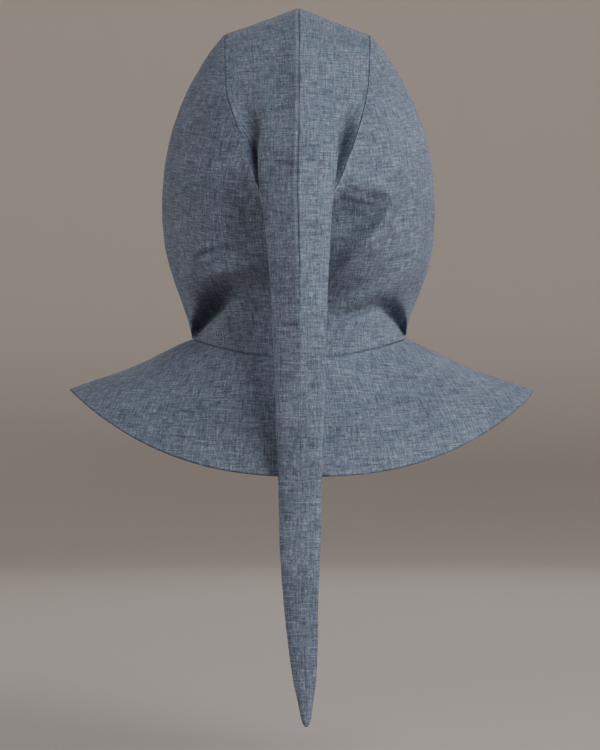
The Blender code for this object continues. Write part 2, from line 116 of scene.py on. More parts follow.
def betweenCells(table, row, column):
    i = np.minimum(row.astype(int), table.shape[0] - 2)
    j = np.minimum(column.astype(int), table.shape[1] - 2)
    a, b = row - i, column - j
    low = table[i, j] * (1 - b) + table[i, j + 1] * b
    high = table[i + 1, j] * (1 - b) + table[i + 1, j + 1] * b
    return low * (1 - a) + high * a


def ease(t):
    t = np.clip(t, 0.0, 1.0)
    return t * t * (3 - 2 * t)


def bump(distance, width):
    return np.exp(-((distance / width) ** 2))


def patchNoise(x, y, seed):
    # smooth patches from 0 to 1, one for each unit of x and y
    x, y = np.broadcast_arrays(np.asarray(x, float), np.asarray(y, float))
    left, low = np.floor(x), np.floor(y)

    def corner(a, b):
        scatter = np.sin((left + a) * 127.1 + (low + b) * 311.7 + seed * 74.7) * 43758.5453
        return scatter - np.floor(scatter)

    tx, ty = ease(x - left), ease(y - low)
    below = corner(0, 0) + (corner(1, 0) - corner(0, 0)) * tx
    above = corner(0, 1) + (corner(1, 1) - corner(0, 1)) * tx
    return below + (above - below) * ty


def crowdedEnds(count, crowding=0.8):
    # places from 0 to 1, closer together at both ends
    t = np.linspace(0, 1, count + 1)
    return t - crowding / (2 * math.pi) * np.sin(2 * math.pi * t)


def edgeDistances(points):
    # metres along the cloth to the first and last column, and to the first and last row
    def lengths(axis):
        steps = np.linalg.norm(np.diff(points, axis=axis), axis=-1)
        start = np.zeros_like(np.take(steps, [0], axis=axis))
        return np.concatenate([start, np.cumsum(steps, axis=axis)], axis=axis)

    across, up = lengths(1), lengths(0)
    return across, across[:, -1:] - across, up, up[-1:] - up


def outwardNormals(points, closed=False):
    # rows climb, and columns run from the face to the back on the wearer's left
    along = np.gradient(points, axis=1)
    if closed:
        along = np.roll(points, -1, axis=1) - np.roll(points, 1, axis=1)
    normals = np.cross(along, np.gradient(points, axis=0))
    return normals / np.maximum(np.linalg.norm(normals, axis=-1, keepdims=True), 1e-12)


def atPlaces(places, knownPlaces, known):
    order = np.argsort(knownPlaces)
    return np.stack([np.interp(places, knownPlaces[order], known[order, k]) for k in range(3)], -1)


def mirrored(points):
    return (points * np.array([-1.0, 1, 1]))[:, ::-1]


# the hood's form: level sections below the top of the crown, in metres
# frontX and frontY are the edge of the face opening, and below the chin the closed throat
Section = namedtuple("Section", "height halfWidth widestY backY frontX frontY squareness")
Station = namedtuple("Station", "middleY middleZ seamX seamY seamZ")
BackSeam = namedtuple("BackSeam", "height x")
Tail = namedtuple("Tail", "height outerY halfWidth depth lean")
Crease = namedtuple("Crease", "side height start end lift")
Wrinkle = namedtuple("Wrinkle", "side angle height toAngle toHeight lift width")
Fold = namedtuple("Fold", "angle height depth width below", defaults=(1.0,))

hoodForm = {
    "cloth": 0.0015,  # wall of the solids under the cloth
    "sections": (
        Section(-0.0230, 0.0620, -0.020, 0.062, 0.0600, -0.106, 4.0),
        Section(-0.0400, 0.0762, -0.015, 0.086, 0.0660, -0.108, 3.1),
        Section(-0.0600, 0.0894, -0.010, 0.101, 0.0740, -0.110, 2.4),
        Section(-0.0940, 0.1048, -0.008, 0.118, 0.0840, -0.113, 2.15),
        Section(-0.1280, 0.1130, -0.008, 0.126, 0.0900, -0.115, 2.1),
        Section(-0.1700, 0.1166, -0.010, 0.130, 0.0920, -0.117, 2.1),
        Section(-0.1960, 0.1150, -0.012, 0.127, 0.0880, -0.118, 2.1),
        Section(-0.2150, 0.1112, -0.012, 0.118, 0.0780, -0.118, 2.1),
        Section(-0.2300, 0.1066, -0.012, 0.104, 0.0600, -0.116, 2.1),
        Section(-0.2410, 0.1026, -0.012, 0.089, 0.0400, -0.113, 2.1),
        Section(-0.2500, 0.0992, -0.010, 0.081, 0.0000, -0.108, 2.1),
        Section(-0.2620, 0.0950, -0.008, 0.079, 0.0000, -0.098, 2.1),
        Section(-0.2750, 0.0918, -0.005, 0.083, 0.0000, -0.090, 2.0),
        Section(-0.2960, 0.0900, 0.000, 0.090, 0.0000, -0.086, 2.0),
        Section(-0.3100, 0.0900, 0.000, 0.093, 0.0000, -0.084, 2.0),
    ),
    "neck height": -0.2800,
    "neck drop back": 0.0165,
    "neck drop front": 0.030,
    "tail joins": -0.182,
    "back seam": {
        1: (
            BackSeam(-0.040, 0.0620),
            BackSeam(-0.060, 0.0612),
            BackSeam(-0.078, 0.0598),
            BackSeam(-0.098, 0.0545),
            BackSeam(-0.118, 0.0468),
            BackSeam(-0.143, 0.0380),
            BackSeam(-0.160, 0.0310),
            BackSeam(-0.172, 0.0190),
            BackSeam(-0.182, 0.0),
        ),
        -1: (
            BackSeam(-0.040, 0.0590),
            BackSeam(-0.060, 0.0582),
            BackSeam(-0.078, 0.0566),
            BackSeam(-0.090, 0.0540),
            BackSeam(-0.118, 0.0462),
            BackSeam(-0.140, 0.0380),
            BackSeam(-0.160, 0.0290),
            BackSeam(-0.172, 0.0180),
            BackSeam(-0.182, 0.0),
        ),
    },
}


def levelSection(height, t):
    # left half of a level section: t is -1 at the front edge, 0 where widest, 1 behind in the middle
    width, backY = outlineColumns(height)
    widestY, frontX, frontY, square = formColumns(height, "widestY", "frontX", "frontY", "squareness")
    reach, power = backY - widestY, 2 / square
    turn = np.clip(t, 0, 1) * math.pi / 2
    frontTurn = np.arccos(np.clip(frontX / width, 0, 1))
    swing = np.clip(-t, 0, 1) * frontTurn
    behind = t >= 0
    x = np.where(behind, width * np.cos(turn) ** power, width * np.cos(swing))
    yBehind = widestY + reach * np.sin(turn) ** power
    yBefore = widestY + (frontY - widestY) * np.sin(swing) / np.sin(frontTurn)
    return np.where(t >= 1, 0.0, x), np.where(behind, yBehind, yBefore)


def sectionY(height, x):
    # how far back the section reaches at a sideways place behind its widest point
    width, backY = outlineColumns(height)
    widestY, square = formColumns(height, "widestY", "squareness")
    return widestY + (backY - widestY) * (1 - np.clip(x / width, 0, 1) ** square) ** (1 / square)


def measureLevels():
    # the turn t for even shares of each section's length, so that cloth is spread evenly round
    levels = np.linspace(hoodForm["sections"][-1].height, hoodForm["sections"][0].height, 160)
    behind = np.sin(np.linspace(0, 1, 140) * math.pi / 2) ** 2
    turns = np.concatenate([np.linspace(-1, 0, 80)[:-1], behind])
    shares = np.linspace(0, 1, 501)
    table = []
    for level in levels:
        x, y = levelSection(np.full_like(turns, level), turns)
        along = running(np.hypot(np.diff(x), np.diff(y)))
        table.append(np.interp(shares, along / along[-1], turns))
    return levels, np.array(table)


levels, turnTable = measureLevels()


def measureCut():
    # the flat cut: length round each section, the share in front of the side line, and the
    # distance up the cloth for each turn
    turns = np.concatenate([np.linspace(-1, 0, 41)[:-1], np.linspace(0, 1, 61)])
    x, y = levelSection(levels[:, None] * np.ones_like(turns), turns * np.ones((len(levels), 1)))
    points = np.stack([x, y, levels[:, None] * np.ones_like(x)], -1)
    fineTurns = np.linspace(-1, 1, 601)
    lengths, fronts = [], []
    for level in levels:
        fineX, fineY = levelSection(np.full_like(fineTurns, level), fineTurns)
        along = running(np.hypot(np.diff(fineX), np.diff(fineY)))
        lengths.append(along[-1])
        fronts.append(np.interp(0, fineTurns, along))
    climb = np.cumsum(np.linalg.norm(np.diff(points, axis=0), axis=-1), axis=0)
    climb = np.concatenate([np.zeros_like(climb[:1]), climb])
    return np.array(lengths), np.array(fronts), turns, climb


cutLengths, cutFronts, cutTurns, cutClimb = measureCut()


def levelRow(height):
    return (np.clip(height, levels[0], levels[-1]) - levels[0]) / (levels[1] - levels[0])


def cutPlace(height, share):
    # where a point of the side panel lies on its flat cut
    front, length = np.interp(height, levels, cutFronts), np.interp(height, levels, cutLengths)
    u = share * length - front
    above = np.maximum(height, hoodForm["tail joins"])  # below, the threads run straight down
    full = np.interp(above, levels, cutLengths) - np.interp(above, levels, cutFronts)
    u = np.where(u > 0, u * full / (length - front), u)
    column = np.interp(turnAt(height, share), cutTurns, np.arange(len(cutTurns)))
    return u, betweenCells(cutClimb, levelRow(height), column)


def turnAt(height, share):
    height, share = np.broadcast_arrays(np.asarray(height, float), np.asarray(share, float))
    return betweenCells(turnTable, levelRow(height), np.clip(share, 0, 1) * (turnTable.shape[1] - 1))


def measureSeam(side):
    # for each level, the share of the section at which the side panel meets the crown
    shares = np.linspace(0.5, 1, 200)
    rows = hoodForm["back seam"][side]
    found = []
    for level in levels:
        seam = smoothColumn(rows, "x", level)
        at = min(level, rows[0].height)
        x, _ = levelSection(np.full_like(shares, at), turnAt(at, shares))
        found.append(np.interp(-seam, -x, shares) if level > hoodForm["tail joins"] else 1.0)
    return np.array(found)


seamShares = {side: measureSeam(side) for side in (1, -1)}


def seamShare(height, side):
    return np.where(height > hoodForm["tail joins"], np.interp(height, levels, seamShares[side]), 1.0)


def neckHeight(share):
    drop = np.where(share < 0.5, hoodForm["neck drop front"], hoodForm["neck drop back"])
    return hoodForm["neck height"] - drop * np.cos(math.pi * share) ** 2


def backSeamPoint(height, side):
    x, y = levelSection(height, turnAt(height, seamShare(height, side)))
    return np.stack([x, y, height], -1)


# cloth and sewing, the same for all pieces
sewing = {
    "cloth": 0.0011,  # thickness that shows at the hems
    "gap": 0.00008,  # between two sewn pieces
    "groove depth": 0.0008,
    "groove width": 0.0007,
    "ridge height": 0.00030,
    "ridge place": 0.0024,
    "ridge width": 0.0013,
    "allowance": 0.009,  # width of the seam allowance felled down inside
    "pucker": 0.00045,
    "pucker length": 0.0075,
    "pucker reach": 0.0075,
    "line": 0.0010,  # half width of the dark line along a seam
    "neck line": 0.0009,
    "neck dark": 0.4,
    "allowance fold": 0.0009,  # how much thicker the cloth is where it lies double
    "hem fold": 0.0008,
    "fold edge": 0.0008,
    "hem line": 0.0010,
    "hem groove": 0.0004,
}


def sewnEdge(distance, ridge=1.0):
    groove = -sewing["groove depth"] * bump(distance, sewing["groove width"])
    beside = bump(distance - sewing["ridge place"], sewing["ridge width"])
    return groove + ridge * sewing["ridge height"] * beside


def seamMark(distance, along, seed, width=sewing["line"]):
    # the dark line of a seam, deeper in some places than in others
    return bump(distance, width) * (0.55 + 0.6 * patchNoise(along / 0.012, 0.5, seed))


def paintedCreaseShade(lift, look):
    # painted shade in a crease, the darker the deeper it is: the depth for a full share, and the largest
    # share
    depth, largest = look
    return np.clip(-lift / depth, 0, largest)


def puckers(distance, along, seed):
    # little gathers that run away from a seam
    wave = patchNoise(along / sewing["pucker length"], distance / 0.02, seed) - 0.5
    fade = bump(distance, sewing["pucker reach"]) * ease(distance / 0.0015)
    return 2 * sewing["pucker"] * wave * fade


def turnedUnder(distance, width):
    # 1 where the cloth lies double along an edge
    return ease((width - distance) / sewing["fold edge"])


def allowance(distance):
    return sewing["allowance fold"] * turnedUnder(distance, sewing["allowance"])


wornCloth = {  # sizes of the patches and small creases, across and along the cloth
    "broad": (0.055, 0.045),
    "middle": (0.024, 0.028),
    "crease": (0.017, 0.011),
    "crease slant": (0.06, 0.05),
}


def rumple(u, v, seed, big=0.0009, small=0.00028):
    # soft unevenness of worn linen, broad patches and small creases
    broad, middle, crease, slant = wornCloth.values()
    patches = patchNoise(u / broad[0], v / broad[1], seed) - 0.5
    patches = patches + 0.5 * (patchNoise(u / middle[0] + 3.1, v / middle[1], seed + 5) - 0.5)
    across, along = u / crease[0] + v / slant[0], v / crease[1] - u / slant[1]
    creases = 1 - np.abs(2 * patchNoise(across, along, seed + 9) - 1)
    return big * patches + small * (creases**3 - 0.3)


def roundedRim(distance, thickness):
    # how far each face of the cloth turns in at a free edge
    inside = np.clip(1 - distance / (0.6 * thickness), 0, 1)
    return thickness / 2 * (1 - np.sqrt(1 - inside**2))


def betweenNormals(own, other, thickness):
    middle = own + other
    middle = middle / np.linalg.norm(middle, axis=-1, keepdims=True)
    lean = np.maximum(np.sum(middle * own, axis=-1, keepdims=True), 0.6)
    return middle * thickness / lean


def sewnWalls(outer, inward, edges):
    # both faces of the cloth, with room left for a seam along the named edges
    walls = outer, outer - inward
    for points in walls:
        for edge, inside in edges:
            step = points[inside] - points[edge]
            length = np.maximum(np.linalg.norm(step, axis=-1, keepdims=True), 1e-9)
            points[edge] = points[edge] + step / length * np.minimum(sewing["gap"] / 2, length / 2)
    return walls


def lineAt(points, normals, distance, at, axis):
    # the line over the cloth at one distance from an edge, measured along the rows or the columns
    if axis == 1:
        points, normals, distance = points.swapaxes(0, 1), normals.swapaxes(0, 1), distance.T
    places, directions = np.empty_like(points[0]), np.empty_like(points[0])
    for k in range(points.shape[1]):
        order = np.argsort(distance[:, k])
        for c in range(3):
            places[k, c] = np.interp(at, distance[order, k], points[order, k, c])
            directions[k, c] = np.interp(at, distance[order, k], normals[order, k, c])
    return places, directions


# an edge of a grid, and what lies beside it
firstRow, lastRow = (np.s_[0], np.s_[1]), (np.s_[-1], np.s_[-2])
firstColumn, lastColumn = (np.s_[:, 0], np.s_[:, 1]), (np.s_[:, -1], np.s_[:, -2])


def makeCloth(name, outer, inner, uv, marks, closed=False):
    # one closed skin of cloth from two grids of points, with a UV map in metres
    # and a number at each point for every mark, such as wear with its painted ridge highlight
    rows, columns = outer.shape[:2]
    points = np.concatenate([outer.reshape(-1, 3), inner.reshape(-1, 3)])
    points[:, 2] += hoodForm["cloth"]
    number = np.arange(rows * columns).reshape(rows, columns)
    if closed:
        number = np.concatenate([number, number[:, :1]], axis=1)
    lower = number + rows * columns
    a, b, c, d = number[:-1, :-1], number[:-1, 1:], number[1:, 1:], number[1:, :-1]
    strips = [(a, b, c, d), tuple(part + rows * columns for part in (a, d, c, b))]
    strips.append((number[0, 1:], number[0, :-1], lower[0, :-1], lower[0, 1:]))
    strips.append((number[-1, :-1], number[-1, 1:], lower[-1, 1:], lower[-1, :-1]))
    if not closed:
        strips.append((number[:-1, 0], number[1:, 0], lower[1:, 0], lower[:-1, 0]))
        strips.append((number[1:, -1], number[:-1, -1], lower[:-1, -1], lower[1:, -1]))
    faces = np.concatenate([np.stack(strip, -1).reshape(-1, 4) for strip in strips])
    mesh = bpy.data.meshes.new(name)
    mesh.from_pydata(points.tolist(), [], faces.tolist())
    layer = mesh.uv_layers.new(name="cloth")
    flat = np.concatenate([uv.reshape(-1, 2)] * 2)
    corners = np.empty(len(mesh.loops), dtype=np.int32)
    mesh.loops.foreach_get("vertex_index", corners)
    onCorners = flat[corners].reshape(-1, 4, 2)
    if closed:  # the last strip of faces goes on, rather than back to the start
        turn = flat[:, 0].max() - flat[:, 0].min()
        wraps = np.ptp(onCorners[..., 0], axis=1) > turn / 2
        low = onCorners[..., 0] < flat[:, 0].min() + turn / 2
        step = turn * columns / (columns - 1)
        onCorners[..., 0] += np.where(wraps[:, None] & low, step, 0.0)
    layer.data.foreach_set("uv", onCorners.reshape(-1).astype(np.float32))
    for mark, values in marks.items():
        attribute = mesh.attributes.new(mark, "FLOAT", "POINT")
        both = np.concatenate([values.reshape(-1)] * 2).astype(np.float32)
        attribute.data.foreach_set("value", both)
    mesh.shade_smooth()
    mesh.update()
    piece = bpy.data.objects.new(name, mesh)
    bpy.context.scene.collection.objects.link(piece)
    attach(piece, "root")
    return piece


def clothHalf(name, side, outer, inner, uv, marks, lines):
    # both halves of the hood are worked out on the wearer's left, and the right one is turned over here
    if side < 0:
        outer, inner, uv = mirrored(outer), mirrored(inner), uv[:, ::-1] * np.array([-1, 1])
        marks = {mark: values[:, ::-1] for mark, values in marks.items()}
        flip = np.array([-1.0, 1, 1])
        lines = [(places * flip, directions * flip) for places, directions in lines]
    return makeCloth(name, outer, inner, uv, marks), lines


# crown and tail: the middle line over the head, the side seam, and the tube of the tail
crownTail = {
    "rows": 600,
    "columns": 36,
    "stations": (
        Station(-0.106, -0.012, 0.060, -0.106, -0.0330),
        Station(-0.060, -0.003, 0.061, -0.060, -0.0270),
        Station(-0.020, 0.000, 0.062, -0.020, -0.0240),
        Station(0.015, -0.0005, 0.062, 0.012, -0.0233),
        Station(0.045, -0.008, 0.062, 0.036, -0.0257),
        Station(0.069, -0.021, 0.062, 0.0515, -0.0320),
        Station(0.087, -0.035, 0.062, 0.0643, -0.0400),
    ),
    "tail": (
        Tail(-0.048, 0.0995, 0.034, 0.012, 0.0),
        Tail(-0.070, 0.1145, 0.033, 0.012, 0.0),
        Tail(-0.094, 0.1265, 0.032, 0.013, 0.0),
        Tail(-0.115, 0.1350, 0.032, 0.015, 0.0003),
        Tail(-0.135, 0.1405, 0.032, 0.017, 0.0008),
        Tail(-0.158, 0.1435, 0.0305, 0.018, 0.0014),
        Tail(-0.182, 0.1475, 0.0275, 0.0172, 0.0008),
        Tail(-0.205, 0.1490, 0.0255, 0.0165, 0.0),
        Tail(-0.250, 0.1500, 0.0226, 0.0150, -0.0005),
        Tail(-0.318, 0.1505, 0.0200, 0.0135, -0.0010),
        Tail(-0.387, 0.1510, 0.0180, 0.0125, -0.0010),
        Tail(-0.451, 0.1510, 0.0163, 0.0115, -0.0012),
        Tail(-0.491, 0.1505, 0.0140, 0.0105, -0.0018),
        Tail(-0.524, 0.1500, 0.0122, 0.0095, -0.0034),
        Tail(-0.556, 0.1490, 0.0092, 0.0085, -0.0048),
        Tail(-0.573, 0.1480, 0.0062, 0.0070, -0.0054),
        Tail(-0.586, 0.1472, 0.0040, 0.0056, -0.0058),
        Tail(-0.590, 0.1469, 0.0027, 0.0046, -0.0060),
        Tail(-0.592, 0.1467, 0.0010, 0.0030, -0.0060),
    ),
    "right seam": 0.952,  # how much nearer the middle the right seam runs over the head
    "funnel starts": -0.076,
    "funnel length": 0.055,
    "under tail": 0.42,
    "joins from": -0.165,  # above here the tube is drawn into the side seams
    "joins over": 0.04,
    "under free tail": 0.52,
    "valley": {1: 0.0145, -1: 0.0185},  # how deep the cloth dips beside the funnel
    "valley place": 0.73,
    "valley width": 0.15,
    "ridge across": 0.6,  # how much of a roof the ridged tail is, sideways and from back to front
    "ridge inward": 0.75,
    "ridge to": -0.255,  # the tail is a ridged roof down to here
    "round from": -0.365,
    "seam lies flat": -0.275,  # from here down the middle seam hardly shows
    "seam fades over": 0.070,
    "flat seam": 0.08,
    "thin tip": 0.35,
    "crease width": 0.0020,
    # painted shade in the tail's creases: the depth for full shade, and the largest share
    "crease painted shade": (0.0030, 0.6),
    "creases": (  # across each half: where they start and end as shares from the middle seam
        Crease(1, -0.0859, 0.02, 0.30, -0.0013),
        Crease(1, -0.0944, 0.05, 0.42, -0.0019),
        Crease(1, -0.1428, 0.02, 0.38, -0.0019),
        Crease(1, -0.2730, 0.02, 0.40, -0.0020),
        Crease(1, -0.2765, 0.15, 0.45, 0.0013),
        Crease(-1, -0.1910, 0.05, 0.42, -0.0018),
        Crease(-1, -0.1935, 0.03, 0.45, 0.0020),
        Crease(-1, -0.1965, 0.10, 0.40, -0.0018),
        Crease(-1, -0.3320, 0.10, 0.45, -0.0015),
    ),
}


def curveThrough(points, at):
    points = np.asarray(points, float)
    last = len(points) - 1
    ends = np.vstack([2 * points[0] - points[1], points, 2 * points[-1] - points[-2]])
    at = np.clip(np.asarray(at, float), 0, last)
    i = np.minimum(at.astype(int), last - 1)
    t = (at - i)[..., None]
    a, b, c, d = (ends[i + n] for n in range(4))
    bend = (2 * a - 5 * b + 4 * c - d) * t**2 + (3 * b - 3 * c + d - a) * t**3
    return 0.5 * (2 * b + (c - a) * t + bend)


def crownLines(side):
    # middle line and side seam from the face opening to the tip; side is 1 for left and -1 for right
    stations, tail = crownTail["stations"], crownTail["tail"]
    middleTop = [(0, row.middleY, row.middleZ) for row in stations]
    middleTop.append((0, tail[0].outerY, tail[0].height))
    reach = 1 if side > 0 else crownTail["right seam"]
    seamTop = [(row.seamX * reach, row.seamY, row.seamZ) for row in stations[:-2]]
    for row in stations[-2:]:  # here the seam lies on the level sections
        seamTop.append((row.seamX * reach, float(sectionY(row.seamZ, row.seamX * reach)), row.seamZ))
    seamTop.append(tuple(backSeamPoint(np.array(tail[0].height), side)))
    over = np.linspace(0, len(stations), 200)[:-1]
    heights = np.linspace(tail[0].height, tail[-1].height, 600)
    lean, outerY, depth = tailColumns(heights, "lean", "outerY", "depth")
    middleDown = np.stack([lean * side, outerY, heights], -1)
    free = middleDown - np.array([0, 1, 0]) * depth[:, None]
    seamDown = np.where(heights[:, None] > hoodForm["tail joins"], backSeamPoint(heights, side), free)
    middle = np.vstack([curveThrough(middleTop, over), middleDown])
    return middle, np.vstack([curveThrough(seamTop, over), seamDown])


middleLines, seamLines = {}, {}
for side in (1, -1):
    middleLines[side], seamLines[side] = crownLines(side)
alongLine = running(np.linalg.norm(np.diff(middleLines[1], axis=0), axis=1))


def onLine(line, along):
    return np.stack([np.interp(along, alongLine, line[:, k]) for k in range(3)], -1)


def crownHalf(along, w, side):
    # w is 0 at the middle seam and 1 at the side seam, which on the tail is the seam underneath
    crown = crownTail
    middle, seam = onLine(middleLines[side], along), onLine(seamLines[side], along)
    w, height = w[..., None], middle[..., 2:]
    roof = middle + (seam - middle) * w
    width, depth = tailColumns(height, "halfWidth", "depth")
    ridged = ease((height - crown["round from"]) / (crown["ridge to"] - crown["round from"]))
    arc, point = np.sin(math.pi * w), 1 - np.abs(1 - 2 * w)
    fall = np.where(w < 0.5, 1.7 * w, 0.7 + 0.3 * w)
    arcFall = (1 - np.cos(math.pi * w)) / 2
    across = arc + ridged * crown["ridge across"] * (point - arc)
    inward = arcFall + ridged * crown["ridge inward"] * (fall - arcFall)
    tube = middle + width * across * np.array([1.0, 0, 0]) - depth * inward * np.array([0, 1.0, 0])
    joining = ease((height - crown["joins from"]) / crown["joins over"])
    starts = crown["under free tail"] + (crown["under tail"] - crown["under free tail"]) * joining
    funnel = tube + (seam - tube) * ease((w - starts) / (1 - starts))
    valley = crown["valley"][side] * bump(w - crown["valley place"], crown["valley width"])
    funnel = funnel - joining * valley * np.array([0, 1.0, 0])
    share = ease((crown["funnel starts"] - height) / crown["funnel length"])
    return roof + (funnel - roof) * share


def crownBase(side):
    # places run from the tip up over the head, columns from the side seam to the middle
    along = alongLine[-1] * (1 - np.linspace(0, 1, crownTail["rows"] + 1))
    w, length = np.meshgrid(1 - crowdedEnds(crownTail["columns"]), along)
    base = crownHalf(length, w, side)
    return base, outwardNormals(base), along


# side panels, with the folds pressed into them: degrees from the middle of the back, height,
# depth, half width, and the share of that width on the side below and nearer the middle;
# a minus depth stands out
sidePanels = {
    "rows": 270,
    "columns": 170,
    "corner height": -0.070,
    "neck radius": 0.085,
    "round radius": 0.125,
    "neck fade": 0.005,
    "seam fade": 0.035,
    "hem": 0.012,  # width of the hem round the face
    # painted shade in the side panels' wrinkles: the depth for full shade, and the largest share
    "wrinkle painted shade": (0.0040, 0.4),
    "left folds": (
        (
            Fold(85, -0.279, 0.010, 0.008, 0.7),
            Fold(77, -0.276, 0.023, 0.008, 0.65),
            Fold(70, -0.2715, 0.034, 0.009, 0.6),
            Fold(63, -0.266, 0.041, 0.0095, 0.6),
            Fold(56, -0.2595, 0.043, 0.0105, 0.58),
            Fold(50, -0.2530, 0.040, 0.0105, 0.58),
            Fold(45, -0.2475, 0.034, 0.0095, 0.58),
            Fold(40, -0.2430, 0.025, 0.0085, 0.6),
            Fold(33, -0.2385, 0.016, 0.0080, 0.7),
            Fold(25, -0.236, 0.009, 0.008, 0.9),
            Fold(18, -0.237, 0.004, 0.009, 1.0),
        ),
        (
            Fold(20, -0.158, 0.006, 0.012),
            Fold(22, -0.176, 0.016, 0.016),
            Fold(25, -0.197, 0.019, 0.018),
            Fold(30, -0.211, 0.010, 0.016),
        ),
        (
            Fold(50, -0.140, -0.001, 0.014),
            Fold(52, -0.168, -0.003, 0.014),
            Fold(54, -0.197, -0.005, 0.013),
            Fold(58, -0.222, -0.006, 0.012),
            Fold(64, -0.238, -0.004, 0.010),
        ),
        (
            Fold(68, -0.250, -0.002, 0.008),
            Fold(60, -0.243, -0.004, 0.008),
            Fold(50, -0.2330, -0.006, 0.008),
            Fold(38, -0.2270, -0.006, 0.008),
            Fold(26, -0.2210, -0.003, 0.008),
        ),
    ),
    "right folds": (
        (
            Fold(85, -0.279, 0.008, 0.007, 0.7),
            Fold(79, -0.2745, 0.020, 0.007, 0.7),
            Fold(73, -0.270, 0.027, 0.008, 0.7),
            Fold(67, -0.2655, 0.031, 0.008, 0.7),
            Fold(61, -0.2605, 0.031, 0.008, 0.7),
            Fold(55, -0.2550, 0.027, 0.007, 0.7),
            Fold(49, -0.2525, 0.020, 0.0055, 0.7),
            Fold(43, -0.2540, 0.012, 0.0045, 0.8),
            Fold(37, -0.2575, 0.008, 0.0045, 0.8),
            Fold(31, -0.2610, 0.005, 0.0045, 0.8),
            Fold(24, -0.264, 0.002, 0.005, 1.0),
        ),
        (
            Fold(14, -0.149, -0.001, 0.006),
            Fold(27, -0.155, -0.003, 0.006),
            Fold(40, -0.163, -0.006, 0.008),
            Fold(38, -0.178, -0.006, 0.008),
            Fold(31, -0.196, -0.006, 0.008),
            Fold(23, -0.213, -0.004, 0.009),
        ),
        (
            Fold(56, -0.236, -0.003, 0.011),
            Fold(48, -0.241, -0.006, 0.012),
            Fold(40, -0.2455, -0.007, 0.012),
            Fold(31, -0.2485, -0.006, 0.012),
            Fold(22, -0.251, -0.003, 0.011),
        ),
    ),
}


def panelPlace(degrees, height):
    # metres round a side panel from the middle of the back, and up
    return np.array([math.radians(degrees) * sidePanels["round radius"], height])


# a dent right of the tail: it slopes in below a crisp lip, and comes out again at a ridge beside it
tailDent = {
    "corner": (38.5, -0.167),  # degrees from the middle of the back, height
    "lip to": (12, -0.152),
    "ridge to": (21, -0.217),
    "lip slope": 0.85,
    "ridge slope": 1.15,
    "deepest": 0.026,
    "soft": 0.005,
    "foot": -0.250,
    "foot fade": 0.040,
}


def dentDepth(angle, height):
    dent = tailDent
    corner = panelPlace(*dent["corner"])
    alongLip, alongRidge = panelPlace(*dent["lip to"]) - corner, panelPlace(*dent["ridge to"]) - corner
    fromLip = np.array([alongLip[1], -alongLip[0]]) / -np.linalg.norm(alongLip)
    fromRidge = np.array([alongRidge[1], -alongRidge[0]]) / np.linalg.norm(alongRidge)
    s, h = angle * sidePanels["round radius"] - corner[0], height - corner[1]
    below = dent["lip slope"] * (s * fromLip[0] + h * fromLip[1])
    inside = dent["ridge slope"] * (s * fromRidge[0] + h * fromRidge[1])
    least = (below + inside - np.sqrt((below - inside) ** 2 + dent["soft"] ** 2)) / 2
    least = (least + np.sqrt(least**2 + dent["soft"] ** 2 / 4)) / 2
    depth = dent["deepest"] * np.tanh(least / dent["deepest"])
    return depth * ease((height - dent["foot"]) / dent["foot fade"])


# fine wrinkles that run straight over a side panel, from one angle and height to another
panelWrinkles = (
    Wrinkle(1, 50, -0.2090, 20, -0.1985, 0.0017, 0.0030),
    Wrinkle(1, 47, -0.2135, 22, -0.2045, -0.0014, 0.0024),
    Wrinkle(1, 54, -0.2225, 24, -0.2120, 0.0015, 0.0030),
    Wrinkle(1, 66, -0.1860, 50, -0.1780, 0.0012, 0.0026),
    Wrinkle(1, 62, -0.1500, 44, -0.1440, 0.0008, 0.0026),
    Wrinkle(1, 24, -0.1700, 17, -0.2050, -0.0014, 0.0026),
    Wrinkle(1, 58, -0.2750, 30, -0.2700, 0.0008, 0.0022),
    Wrinkle(-1, 37, -0.1760, 23, -0.2160, 0.0015, 0.0022),
    Wrinkle(-1, 41, -0.1790, 29, -0.2160, 0.0014, 0.0022),
    Wrinkle(-1, 14, -0.1640, 34, -0.1715, 0.0014, 0.0022),
    Wrinkle(-1, 13, -0.1750, 27, -0.1840, -0.0012, 0.0024),
    Wrinkle(-1, 60, -0.1850, 38, -0.1960, 0.0012, 0.0028),
    Wrinkle(-1, 58, -0.2100, 36, -0.2200, -0.0012, 0.0028),
    Wrinkle(-1, 64, -0.1300, 48, -0.1240, 0.0008, 0.0028),
    Wrinkle(-1, 44, -0.2660, 22, -0.2620, 0.0012, 0.0024),
)


def wrinkleLift(side, angle, height):
    lift = np.zeros_like(height)
    for line in panelWrinkles:
        if line.side == side:
            start = panelPlace(line.angle, line.height)
            run = panelPlace(line.toAngle, line.toHeight) - start
            length = np.linalg.norm(run)
            s, h = angle * sidePanels["round radius"] - start[0], height - start[1]
            along, away = (s * run[0] + h * run[1]) / length, (h * run[0] - s * run[1]) / length
            bent = away - 0.0012 * np.sin(3 * along / length + line.angle)
            ends = ease(along / 0.010) * ease((length - along) / 0.010)
            lift = lift + line.lift * ends * bump(bent, line.width)
    return lift


def foldDepth(folds, angle, height):
    pressed, raised = np.zeros(np.shape(angle)), np.zeros(np.shape(angle))
    for path in folds:
        places = np.arange(len(path), dtype=float)
        fine = np.linspace(0, places[-1], 12 * len(path))
        columns = [np.interp(fine, places, column) for column in zip(*path)]
        for a, h, depth, width, below in zip(*columns):
            outwards, up = (angle - math.radians(a)) * sidePanels["neck radius"], height - h
            away = np.hypot(outwards, up)
            above = (0.5 * outwards + 0.87 * up) / np.maximum(away, 1e-9)
            here = depth * bump(away, width * (1 + below + (1 - below) * above) / 2)
            pressed, raised = np.maximum(pressed, here), np.minimum(raised, here)
    return pressed + raised


